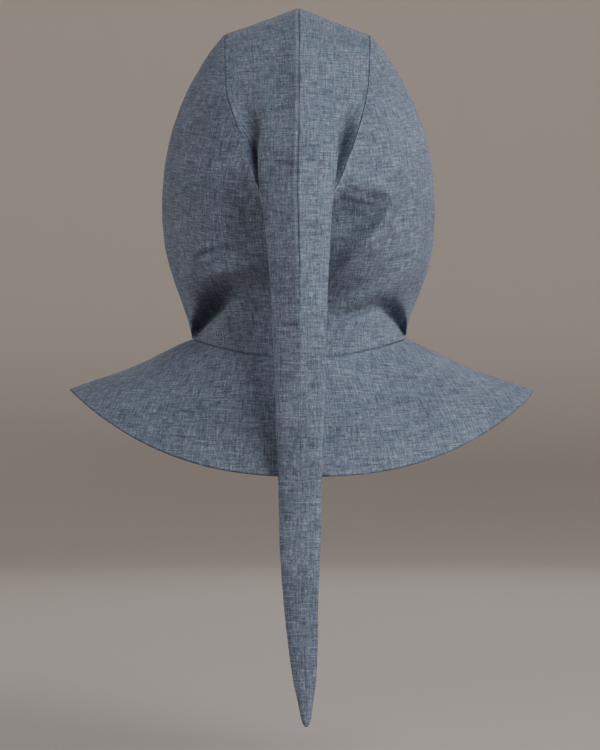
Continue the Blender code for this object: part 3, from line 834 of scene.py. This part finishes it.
def hoodSide(height, share, side, folds):
    x, y = levelSection(height, turnAt(height, share))
    aboveNeck = ease((height - neckHeight(share)) / sidePanels["neck fade"])
    besideCrown = ease((seamShare(height, side) - share) / sidePanels["seam fade"])
    depth = foldDepth(folds, np.arctan2(x, y), height)
    if folds and side < 0:
        depth = depth + dentDepth(np.arctan2(x, y), height)
    return np.stack([x, y - aboveNeck * besideCrown * depth, height], -1)


cornerAlong = np.interp(sidePanels["corner height"], middleLines[1][::-1, 2], alongLine[::-1])


def crownSeamShares(top, side):
    shares = np.linspace(0, 1, 300)
    found = []
    for x, y, z in top:
        _, yRound = levelSection(np.full_like(shares, z), turnAt(z, shares))
        onTop = np.interp(y, yRound, shares)
        found.append(onTop if z > hoodForm["back seam"][side][0].height else seamShare(z, side))
    return np.minimum(np.array(found) / seamShare(top[:, 2], side), 1.0)


def sideBase(side):
    # rows climb from the neck seam to the crown seam, columns run from the face to the back
    folds = sidePanels["left folds" if side > 0 else "right folds"]
    places = crowdedEnds(sidePanels["columns"])
    top = onLine(seamLines[side], places * cornerAlong)
    rows = crowdedEnds(sidePanels["rows"], 0.6) ** 1.1
    u, v = np.meshgrid(places, rows)
    share = u + (crownSeamShares(top, side) - u) * v**2
    height = neckHeight(u) * (1 - v) + top[None, :, 2] * v
    share = share * seamShare(height, side)
    points = hoodSide(height, share, side, folds)
    points = points + (top - points[-1])[None] * (v**4)[..., None]
    back = np.interp(-points[:, -1, 2], -seamLines[side][:, 2], alongLine)
    return points, outwardNormals(points), height, share, places, back


# the cowl: from the neck seam out to the hem
cowlCape = {
    "rows": 70,
    "columns": 360,
    "hem half": 0.1965,
    "hem back": 0.136,
    "hem front": -0.118,
    "hem top": -0.3225,
    "hem bottom": -0.3918,
    "hem curve": 2.45,
    "lean": -0.0015,
    "lean back": -0.0045,
    "sag": 0.003,
    "hem": 0.016,  # width of the turned hem
    "hem line": 0.0011,
    "wobble": 0.0007,  # unevenness of the hem between its stitches and its edge
    "wobble length": 0.011,
    "cut radius": 0.16,  # the cape opens out flat, so the weave turns a little less than the wearer does
    "cut turn": 0.62,
    "ring": 0.15,
}


def cowlBase():
    # rows climb from the hem to the neck seam, columns run right round
    cape = cowlCape
    turn = np.arange(cape["columns"]) / cape["columns"] * 2
    share = np.abs(1 - turn)
    side = np.where(turn <= 1, 1.0, -1.0)
    roundIt = (1 - share) * math.pi * side
    across, forth = np.sin(roundIt), np.cos(roundIt)
    neck = hoodSide(neckHeight(share), share, 1, ())
    neck[:, 0] *= side
    x = cape["hem half"] * across + cape["lean"] + cape["lean back"] * np.maximum(forth, 0) ** 0.5
    y = np.where(forth > 0, cape["hem back"], -cape["hem front"]) * forth
    climb = (cape["hem top"] - cape["hem bottom"]) * np.abs(across) ** cape["hem curve"]
    hem = np.stack([x, y, cape["hem bottom"] + climb], -1)
    out = crowdedEnds(cape["rows"], 0.7)[:, None, None]
    sag = -cape["sag"] * np.cos(2 * (roundIt - math.pi / 2))
    points = neck + (hem - neck) * out
    points[..., 2] += sag * 16 * ((out * (1 - out)) ** 2)[..., 0]
    points = points[::-1, ::-1]
    return points, outwardNormals(points, True), share[::-1], roundIt[::-1]


crownBases = {side: crownBase(side) for side in (1, -1)}
sideBases = {side: sideBase(side) for side in (1, -1)}
cowlPoints, cowlNormals, cowlShare, cowlTurn = cowlBase()
print("base forms worked out")


def sidePanel(name, side, seed):
    base, normals, height, share, places, back = sideBases[side]
    fromFace, fromBack, fromNeck, fromTop = edgeDistances(base)
    u, v = cutPlace(height, share)
    fromCrown = np.minimum(fromTop, fromBack)
    nearTop = ease((fromBack - fromTop) / 0.02)
    seamAlong = nearTop * u + (1 - nearTop) * v
    free = ease(fromCrown / 0.012) * ease(fromNeck / 0.012)
    x, y = levelSection(height, turnAt(height, share))
    wrinkled = wrinkleLift(side, np.arctan2(x, y), height) * free
    lift = rumple(u, v, seed) * free + wrinkled
    lift = lift + sewnEdge(fromCrown, 0.5) + 0.6 * sewnEdge(fromNeck, 0.8)
    lift = lift + puckers(fromCrown, seamAlong, seed + 20) + 1.4 * puckers(fromNeck, u, seed + 30)
    onFace = base[..., 0] > 0.0005  # below the chin the front edge is a seam
    hemLine = bump(fromFace - sidePanels["hem"], sewing["hem line"])
    lift = lift - sewing["hem groove"] * hemLine * onFace + np.where(onFace, 0, sewnEdge(fromFace))
    cloth = sewing["cloth"]
    rim = roundedRim(fromFace, cloth) * onFace
    outer = base + normals * (lift - rim)[..., None]
    thickness = cloth + allowance(fromCrown) + allowance(fromNeck)
    thickness = thickness + sewing["hem fold"] * turnedUnder(fromFace, sidePanels["hem"]) * onFace
    inward = normals * (thickness - 2 * rim)[..., None]
    _, crownNormals, along = crownBases[side]
    above = atPlaces(places * cornerAlong, along, crownNormals[:, 0])
    inward[-1] = betweenNormals(normals[-1], above, thickness[-1][:, None])
    sewn = base[:, -1, 2] > hoodForm["tail joins"]
    beside = betweenNormals(normals[:, -1], atPlaces(back, along, crownNormals[:, 0]), thickness[:, -1:])
    inward[sewn, -1] = beside[sewn]
    onLeft = cowlPoints[-1, :, 0] >= 0
    below = atPlaces(share[0], cowlShare[onLeft], cowlNormals[-1, onLeft])
    inward[0] = betweenNormals(normals[0], below, thickness[0][:, None])
    outer, inner = sewnWalls(outer, inward, (firstRow, lastRow, lastColumn))
    for wall in (outer, inner):
        throat = ~onFace[:, 0]
        wall[throat, 0, 0] = sewing["gap"] / 2
        wall[~sewn, -1, 0] = sewing["gap"] / 2
    neckDark = sewing["neck dark"] * seamMark(fromNeck, u, seed, sewing["neck line"])
    dark = np.maximum(seamMark(fromCrown, v, seed), neckDark)
    marks = {
        # dark seam lines, plus painted shade in the wrinkles
        "seamLineAndCreaseShade": dark + paintedCreaseShade(wrinkled, sidePanels["wrinkle painted shade"]),
        "wearAndRidgeHighlight": np.maximum(0.7 * bump(fromCrown - 0.003, 0.0016), bump(fromFace, 0.002) * onFace),
    }
    uv = np.stack([u, v], -1)
    faceLine = lineAt(outer, normals, fromFace, stitching["from hem line"], 1)
    faceLine = [places[onFace[:, 0]] for places in faceLine]
    lines = [faceLine, lineAt(outer, normals, fromNeck, stitching["from neck"], 0)]
    return clothHalf(name, side, outer, inner, uv, marks, lines)


def tailCreases(side, share, height):
    # slightly bent lines across one half, fading at both ends
    lift = np.zeros_like(height)
    for crease in crownTail["creases"]:
        if crease.side == side:
            ends = ease((share - crease.start) / 0.08) * ease((crease.end - share) / 0.12)
            bent = height - crease.height - 0.0025 * np.sin(3 * share + 40 * crease.height)
            lift = lift + crease.lift * ends * bump(bent, crownTail["crease width"])
    return lift


def crownTailHalf(name, side, seed):
    base, normals, along = crownBases[side]
    fromSeam, fromMiddle, _, _ = edgeDistances(base)
    lean, halfWidth = tailColumns(base[..., 2], "lean", "halfWidth")
    u = fromMiddle
    v = (alongLine[-1] - along)[:, None] * np.ones_like(u)
    fromFace = alongLine[-1] - v
    room = ease(fromMiddle / 0.010) * ease(fromSeam / 0.010) * np.clip(halfWidth / 0.02, 0.2, 1)
    lift = rumple(u, v, seed, 0.0007, 0.00030) * room
    shows = ease((base[..., 2] - crownTail["seam lies flat"]) / crownTail["seam fades over"])
    shows = crownTail["flat seam"] + (1 - crownTail["flat seam"]) * shows
    lift = lift + shows * sewnEdge(fromMiddle, 1.7 if side > 0 else 0.3) + sewnEdge(fromSeam, 0.4)
    lift = lift + 0.7 * puckers(fromMiddle, v, seed + 20) + puckers(fromSeam, v, seed + 30)
    lift = lift - sewing["hem groove"] * bump(fromFace - sidePanels["hem"], sewing["hem line"])
    creased = tailCreases(side, fromMiddle / (fromMiddle + fromSeam), base[..., 2])
    lift = (lift + creased) * np.clip(halfWidth / 0.012, 0.15, 1)
    cloth = np.minimum(sewing["cloth"], crownTail["thin tip"] * halfWidth)
    rim = roundedRim(fromFace, cloth)
    outer = base + normals * (lift - rim)[..., None]
    onHood = base[..., 2] > hoodForm["tail joins"]
    thickness = cloth + np.where(onHood, allowance(fromMiddle) + allowance(fromSeam), 0)
    thickness = thickness + sewing["hem fold"] * turnedUnder(fromFace, sidePanels["hem"])
    inward = normals * (thickness - 2 * rim)[..., None]
    _, sideNormals, _, _, places, back = sideBases[side]
    known = np.concatenate([places * cornerAlong, back[::-1]])
    beside = atPlaces(along, known, np.concatenate([sideNormals[-1], sideNormals[::-1, -1]]))
    sewn = onHood[:, 0]
    inward[sewn, 0] = betweenNormals(normals[:, 0], beside, thickness[:, :1])[sewn]
    outer, inner = sewnWalls(outer, inward, (firstColumn, lastColumn))
    for wall in (outer, inner):
        wall[..., 0] = lean * side + np.maximum(wall[..., 0] - lean * side, sewing["gap"] / 2)
    dark = np.maximum(1.2 * shows * seamMark(fromMiddle, v, seed), seamMark(fromSeam, v, seed))
    # a paler ridge beside the middle seam, strong on the left half and faint on the right: partly wear,
    # partly a painted highlight where the left ridge catches the light
    wornAndLitRidge = shows * (1.4 if side > 0 else 0.2) * bump(fromMiddle - 0.0026, 0.0010)
    marks = {
        # dark seam lines, plus painted shade in the creases
        "seamLineAndCreaseShade": dark + paintedCreaseShade(creased, crownTail["crease painted shade"]),
        "wearAndRidgeHighlight": np.maximum(wornAndLitRidge, bump(fromFace, 0.002)),
    }
    uv = np.stack([-u, v], -1)
    lines = [lineAt(outer, normals, fromFace, stitching["from hem line"], 0)]
    return clothHalf(name, side, outer, inner, uv, marks, lines)


def shoulderCowl(name, seed):
    _, _, fromHem, fromNeck = edgeDistances(cowlPoints)
    turn = cowlTurn[None, :] * np.ones_like(fromHem)
    reach, cutTurn = cowlCape["cut radius"] + fromNeck, turn * cowlCape["cut turn"]
    u, v = reach * np.sin(cutTurn), -reach * np.cos(cutTurn)
    ring = turn * cowlCape["ring"]
    free = ease(fromNeck / 0.012) * ease(fromHem / 0.004)
    lift = rumple(ring, fromHem, seed, 0.0010, 0.00025) * free
    lift = lift + 0.6 * sewnEdge(fromNeck, 0.8) + 1.4 * puckers(fromNeck, ring, seed + 30)
    hemLine = bump(fromHem - cowlCape["hem"], cowlCape["hem line"])
    wobble = cowlCape["wobble"] * (patchNoise(ring / cowlCape["wobble length"], 0.5, seed + 40) - 0.5)
    lift = lift - sewing["hem groove"] * hemLine + wobble * bump(fromHem - 0.008, 0.007)
    cloth = sewing["cloth"]
    rim = roundedRim(fromHem, cloth)
    outer = cowlPoints + cowlNormals * (lift - rim)[..., None]
    thickness = cloth + allowance(fromNeck) + sewing["hem fold"] * turnedUnder(fromHem, cowlCape["hem"])
    inward = cowlNormals * (thickness - 2 * rim)[..., None]
    _, sideNormals, _, sideShares, _, _ = sideBases[1]
    beside = atPlaces(cowlShare, sideShares[0], sideNormals[0])
    beside[:, 0] *= np.where(cowlPoints[-1, :, 0] < 0, -1, 1)
    inward[-1] = betweenNormals(cowlNormals[-1], beside, thickness[-1][:, None])
    outer, inner = sewnWalls(outer, inward, (lastRow,))
    neckDark = sewing["neck dark"] * seamMark(fromNeck, ring, seed, sewing["neck line"])
    marks = {
        "seamLineAndCreaseShade": np.maximum(neckDark, 0.9 * bump(fromHem, 0.0008)),
        "wearAndRidgeHighlight": np.maximum(0.4 * bump(fromHem - 0.0022, 0.0010), 0.4 * bump(fromNeck - 0.003, 0.0016)),
    }
    hemPlaces, hemDirections = lineAt(outer, cowlNormals, fromHem, stitching["from hem"], 0)
    lines = [(np.vstack([hemPlaces, hemPlaces[:1]]), np.vstack([hemDirections, hemDirections[:1]]))]
    return makeCloth(name, outer, inner, np.stack([u, v], -1), marks, closed=True), lines


# small hand stitches along the hems and just above the neck seam
stitching = {
    "length": 0.0021,
    "width": 0.00046,
    "height": 0.00034,
    "spacing": 0.0036,
    "sunk": 0.00008,
    "turned": 0.16,  # how far a stitch may lie askew
    "from hem": 0.0158,
    "from hem line": 0.0108,
    "from neck": 0.0036,
    "sides": 8,
    "rings": 6,
}


def stitchModel():
    # one stitch along X, with both ends drawn down into the cloth
    bpy.ops.object.select_all(action="DESELECT")
    bpy.ops.mesh.primitive_uv_sphere_add(
        segments=stitching["sides"], ring_count=stitching["rings"], radius=0.5,
        rotation=(0, math.pi / 2, 0),
    )
    model = bpy.context.object
    bpy.ops.object.transform_apply(rotation=True)
    bpy.ops.object.mode_set(mode="EDIT")
    bpy.ops.mesh.select_all(action="SELECT")
    bpy.ops.transform.resize(value=(stitching["length"], stitching["width"], stitching["height"]))
    bpy.ops.mesh.select_all(action="DESELECT")
    bpy.ops.object.mode_set(mode="OBJECT")
    for point in model.data.vertices:
        point.select = abs(point.co.x) > 0.4 * stitching["length"]
    bpy.ops.object.mode_set(mode="EDIT")
    bpy.ops.transform.translate(value=(0, 0, -0.6 * stitching["height"]))
    bpy.ops.object.mode_set(mode="OBJECT")
    bpy.ops.object.shade_smooth()
    return model


def sewStitches(name, lines, thread, seed):
    model = stitchModel()
    copies = []
    for places, directions in lines:
        places = places + np.array([0, 0, hoodForm["cloth"]])
        along = running(np.linalg.norm(np.diff(places, axis=0), axis=1))
        count = int(along[-1] / stitching["spacing"])
        for k in range(count):
            start, end = (k + 0.2) * along[-1] / count, (k + 0.8) * along[-1] / count
            first, last, out = (
                Vector([np.interp(at, along, table[:, c]) for c in range(3)])
                for at, table in ((start, places), (end, places), ((start + end) / 2, directions))
            )
            out.normalize()
            run = (last - first).normalized()
            side = out.cross(run).normalized()
            askew = stitching["turned"] * 2 * (float(patchNoise(k * 0.73, 0.5, seed)) - 0.5)
            run = (run + askew * side).normalized()
            side = out.cross(run).normalized()
            centre = (first + last) / 2 - stitching["sunk"] * out
            copy = model.copy()
            copy.data = model.data.copy()
            rows = [[run[c], side[c], out[c], centre[c]] for c in range(3)]
            copy.matrix_world = Matrix(rows + [[0, 0, 0, 1]])
            bpy.context.scene.collection.objects.link(copy)
            copies.append(copy)
    bpy.data.objects.remove(model)
    bpy.ops.object.select_all(action="DESELECT")
    for copy in copies:
        copy.select_set(True)
    bpy.context.view_layer.objects.active = copies[0]
    bpy.ops.object.join()
    bpy.ops.object.transform_apply(location=True, rotation=True, scale=True)
    piece = bpy.context.object
    piece.name = name
    piece.data.materials.append(thread)
    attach(piece, "root")
    return piece


sideLeft, sideLeftLines = sidePanel("hoodSideLeft", 1, 3)
sideRight, sideRightLines = sidePanel("hoodSideRight", -1, 11)
tailLeft, tailLeftLines = crownTailHalf("crownTailLeft", 1, 17)
tailRight, tailRightLines = crownTailHalf("crownTailRight", -1, 23)
cowl, cowlLines = shoulderCowl("shoulderCowl", 31)
print("cloth pieces made")

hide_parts("side_left")
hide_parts("side_right")
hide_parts("crown_tail_left")
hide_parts("crown_tail_right")
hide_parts("cowl")


# shader maths as plain expressions
class Field:
    def __init__(self, tree, socket):
        self.tree = tree
        self.socket = socket

    def node(self, kind, settings, inputs, output=0):
        made = self.tree.nodes.new(kind)
        for key, value in settings.items():
            setattr(made, key, value)
        for key, value in inputs.items():
            if isinstance(value, Field):
                self.tree.links.new(value.socket, made.inputs[key])
            else:
                made.inputs[key].default_value = value
        return Field(self.tree, made.outputs[output])

    def math(self, operation, a, b):
        return self.node("ShaderNodeMath", {"operation": operation}, {0: a, 1: b})

    def __add__(self, other):
        return self.math("ADD", self, other)

    def __radd__(self, other):
        return self.math("ADD", other, self)

    def __sub__(self, other):
        return self.math("SUBTRACT", self, other)

    def __rsub__(self, other):
        return self.math("SUBTRACT", other, self)

    def __mul__(self, other):
        return self.math("MULTIPLY", self, other)

    def __rmul__(self, other):
        return self.math("MULTIPLY", other, self)

    def between(self, low, high):
        settings = {"interpolation_type": "SMOOTHSTEP"}
        return self.node("ShaderNodeMapRange", settings, {0: self, 1: low, 2: high, 3: 0.0, 4: 1.0})

    def mixColour(self, first, second):
        # this field is the share of the second colour
        first, second = (end if isinstance(end, Field) else (*end, 1.0) for end in (first, second))
        return self.node("ShaderNodeMix", {"data_type": "RGBA"}, {0: self, 6: first, 7: second}, 2)

    def into(self, shader, name):
        self.tree.links.new(self.socket, shader.inputs[name])


def newMaterial(name):
    material = bpy.data.materials.new(name)
    material.use_nodes = True
    return material, material.node_tree.nodes["Principled BSDF"], Field(material.node_tree, None)


Streak = namedtuple("Streak", "thread shift slip count length detail share")

linenLook = {
    "dark thread": (0.076, 0.090, 0.125),
    "mid thread": (0.137, 0.172, 0.233),
    "violet thread": (0.149, 0.172, 0.238),
    "light thread": (0.268, 0.324, 0.398),
    # colour of the dark seam lines, also used for the painted shade in creases
    "seam": (0.016, 0.024, 0.038),
    "seam line and crease shade": 0.45,  # share of the colour lost in the seam lines and in the painted crease shade
    "wearAndRidgeHighlight": 0.20,
    # share of pale thread for wear along edges, and for the painted highlight on the tail's left seam
    # ridge
    "streaks": {  # shifts across and along, how many to the metre, length, detail, share in the tone
        "warp": Streak("warp", 0, 0, 825.0, 0.013, 2.0, 0.80),
        "weft": Streak("weft", 0, 7.3, 825.0, 0.013, 2.0, 0.88),
        "bandWarp": Streak("warp", 4.9, 0, 300.0, 0.030, 1.5, 0.16),
        "bandWeft": Streak("weft", 6.7, 0, 300.0, 0.030, 1.5, 0.18),
        "fineWarp": Streak("warp", 3.7, 0, 1500.0, 0.0030, 2.0, 0.74),
        "fineWeft": Streak("weft", 5.1, 0, 1500.0, 0.0030, 2.0, 0.74),
        "slubWarp": Streak("warp", 1.9, 0, 520.0, 0.022, 1.0, 0),
        "slubWeft": Streak("weft", 2.3, 0, 520.0, 0.026, 1.0, 0),
        "heather": Streak("warp", 8.1, 4.4, 620.0, 1 / 520.0, 2.5, 0.38),
        "mottle": Streak("warp", 2.2, 0, 150.0, 0.008, 2.0, 0.30),
        "patches": Streak("warp", 0, 0, 14.0, 0.06, 3.0, 0.42),
        "hue": Streak("warp", 6.0, 0, 60.0, 0.020, 2.0, 0),
    },
    "pale slubs": (0.64, 0.76),  # where they begin and are full in their noise
    "dark slubs": (0.36, 0.26),
    "pale slub": 0.17,
    "dark slub": 0.18,
    "hues": (0.38, 0.62),
    "dark to middle": (0.15, 0.55),
    "middle to light": (0.50, 1.05),
    "roughness": 0.92,
    "uneven roughness": 0.10,
    "sheen": 0.07,
    "sheen roughness": 0.5,
    "specular": 0.12,
    "weave height": 0.00016,
    "weave strength": 0.55,
}


def makeLinen():
    look = linenLook
    material, shader, start = newMaterial("blueGreyLinen")
    uv = start.node("ShaderNodeUVMap", {"uv_map": "cloth"}, {})
    u, v = (start.node("ShaderNodeSeparateXYZ", {}, {0: uv}, k) for k in (0, 1))

    def streaks(row):
        # long thin streaks of thread colour
        across, along = (u, v) if row.thread == "warp" else (v, u)
        across = across + row.shift if row.shift else across
        along = along + row.slip if row.slip else along
        inputs = {0: across * row.count, 1: along * (1 / row.length), 2: 0.0}
        place = start.node("ShaderNodeCombineXYZ", {}, inputs)
        inputs = {"Vector": place, "Scale": 1.0, "Detail": row.detail, "Roughness": 0.6}
        return start.node("ShaderNodeTexNoise", {"noise_dimensions": "2D"}, inputs)

    made = {name: streaks(row) for name, row in look["streaks"].items()}
    tone = 0.5
    for name, row in look["streaks"].items():
        if row.share:
            tone = tone + (made[name] - 0.5) * row.share
    slubs, darkSlubs = (
        made["slubWarp"].between(*look[kind]) + made["slubWeft"].between(*look[kind])
        for kind in ("pale slubs", "dark slubs")
    )
    tone = tone + slubs * look["pale slub"] - darkSlubs * look["dark slub"]

    middle = made["hue"].between(*look["hues"]).mixColour(look["mid thread"], look["violet thread"])
    base = tone.between(*look["dark to middle"]).mixColour(look["dark thread"], middle)
    base = tone.between(*look["middle to light"]).mixColour(base, look["light thread"])
    # dark seam lines together with painted shade in creases and wrinkles
    seam = start.node("ShaderNodeAttribute", {"attribute_name": "seamLineAndCreaseShade"}, {}, 2)
    # wear, together with the painted ridge highlight on the tail's left half, mixes in pale thread
    wearAndRidgeHighlight = start.node("ShaderNodeAttribute", {"attribute_name": "wearAndRidgeHighlight"}, {}, 2)
    base = (wearAndRidgeHighlight * look["wearAndRidgeHighlight"]).mixColour(base, look["light thread"])
    base = (seam * look["seam line and crease shade"]).mixColour(base, look["seam"])
    base.into(shader, "Base Color")
    (look["roughness"] + (tone - 0.5) * look["uneven roughness"]).into(shader, "Roughness")
    shader.inputs["Sheen Weight"].default_value = look["sheen"]
    shader.inputs["Sheen Roughness"].default_value = look["sheen roughness"]
    shader.inputs["Specular IOR Level"].default_value = look["specular"]

    coarse, fine = made["warp"] + made["weft"], made["fineWarp"] + made["fineWeft"]
    height = coarse * 0.5 + fine * 0.8 + slubs * 0.9
    inputs = {"Height": height, "Strength": look["weave strength"], "Distance": look["weave height"]}
    start.node("ShaderNodeBump", {}, inputs).into(shader, "Normal")
    return material


threadLook = {
    "dark": (0.150, 0.186, 0.246),
    "light": (0.330, 0.385, 0.450),
    "uneven": 220.0,
    "roughness": 0.8,
}


def makeThread():
    look = threadLook
    material, shader, start = newMaterial("linenThread")
    place = start.node("ShaderNodeTexCoord", {}, {}, 3)
    inputs = {"Vector": place, "Scale": look["uneven"], "Detail": 2.0}
    uneven = start.node("ShaderNodeTexNoise", {}, inputs)
    uneven.between(0.35, 0.65).mixColour(look["dark"], look["light"]).into(shader, "Base Color")
    shader.inputs["Roughness"].default_value = look["roughness"]
    return material


linen, thread = makeLinen(), makeThread()
for piece in (sideLeft, sideRight, tailLeft, tailRight, cowl):
    piece.data.materials.append(linen)
print("linen and thread made")

leftStitches = sewStitches("sideLeftStitches", sideLeftLines, thread, 41)
rightStitches = sewStitches("sideRightStitches", sideRightLines, thread, 43)
crownLeftStitches = sewStitches("crownLeftStitches", tailLeftLines, thread, 47)
crownRightStitches = sewStitches("crownRightStitches", tailRightLines, thread, 53)
cowlStitches = sewStitches("cowlStitches", cowlLines, thread, 59)
print("stitches sewn")


# floor and backdrop in one pale bowl, open above
studio = {
    "floor": -0.66,
    "flat to": 3.0,
    "curve": 1.2,
    "wall": 3.2,
    "colour": (0.70, 0.626, 0.571),
    # the floor is painted darker than the wall, as painted shade, easing into the wall colour up to the
    # height where the painted shade ends
    "floor painted shade": (0.47, 0.42, 0.385),
    "painted shade ends": -0.15,
    "roughness": 0.95,
    "lights": {  # degrees from the camera towards the right of the picture, degrees up, size, power
        "key": (32, 36, 1.3, 44.5),
        "keyLow": (55, 12, 1.3, 26.5),
        "side": (80, 28, 1.3, 27.5),
        "fill": (-40, 15, 1.3, 10.0),
        "rim": (-110, 12, 1.6, 26.0),
        "front": (172, 30, 2.0, 22.0),
    },
    "light distance": 3.0,
    "light height": -0.3,  # of the place the lights look at
    "ambient": 0.01,
    "ambient colour": (1.0, 0.98, 0.95, 1),
    "sides": 96,
    "disc": 0.02,
}


def makeBowl():
    # a small disc of floor, its edge drawn outwards and round into an upright wall
    turns = np.linspace(0, math.pi / 2, 16)[1:]
    flat, curve = studio["flat to"], studio["curve"]
    rings = [(1.0, 0.0), (flat, 0.0)]
    rings += [(flat + curve * math.sin(turn), curve * (1 - math.cos(turn))) for turn in turns]
    rings.append((rings[-1][0], studio["wall"]))
    bpy.ops.object.select_all(action="DESELECT")
    bpy.ops.mesh.primitive_circle_add(
        vertices=studio["sides"], radius=studio["disc"], fill_type="NGON",
        location=(0, 0, studio["floor"]),
    )
    bowl = bpy.context.object
    bowl.name = bowl.data.name = "backdrop"
    bpy.ops.object.transform_apply(location=True)
    bpy.ops.object.mode_set(mode="EDIT")
    bpy.ops.mesh.select_all(action="SELECT")
    radius, height = studio["disc"], 0.0
    for nextRadius, nextHeight in rings:
        bpy.ops.mesh.extrude_edges_indiv()
        bpy.ops.transform.resize(value=(nextRadius / radius, nextRadius / radius, 1))
        bpy.ops.transform.translate(value=(0, 0, nextHeight - height))
        radius, height = nextRadius, nextHeight
    bpy.ops.object.mode_set(mode="OBJECT")
    bpy.ops.object.shade_smooth()
    paint, shader, start = newMaterial("palePaper")
    place = start.node("ShaderNodeTexCoord", {}, {}, 3)
    high = start.node("ShaderNodeSeparateXYZ", {}, {0: place}, 2)
    # painted shade: the floor darker, easing into the wall colour higher up
    unshadedShare = high.between(studio["floor"], studio["painted shade ends"])
    unshadedShare.mixColour(studio["floor painted shade"], studio["colour"]).into(shader, "Base Color")
    shader.inputs["Roughness"].default_value = studio["roughness"]
    bowl.data.materials.append(paint)


def addLight(name, around, up, size, power):
    around, up, far = math.radians(around), math.radians(up), studio["light distance"]
    light = bpy.data.lights.new(name, "AREA")
    light.shape = "DISK"
    light.size = size
    light.energy = power
    lamp = bpy.data.objects.new(name, light)
    across = far * math.cos(up)
    height = studio["light height"] + far * math.sin(up)
    lamp.location = (-across * math.sin(around), across * math.cos(around), height)
    lamp.rotation_euler = (math.pi / 2 - up, 0, math.pi + around)
    bpy.context.scene.collection.objects.link(lamp)


makeBowl()
for name, values in studio["lights"].items():
    addLight(name, *values)
world = bpy.data.worlds.new("studio")
world.use_nodes = True
sky = world.node_tree.nodes["Background"]
sky.inputs["Color"].default_value = studio["ambient colour"]
sky.inputs["Strength"].default_value = studio["ambient"]
bpy.context.scene.world = world
print("studio set")
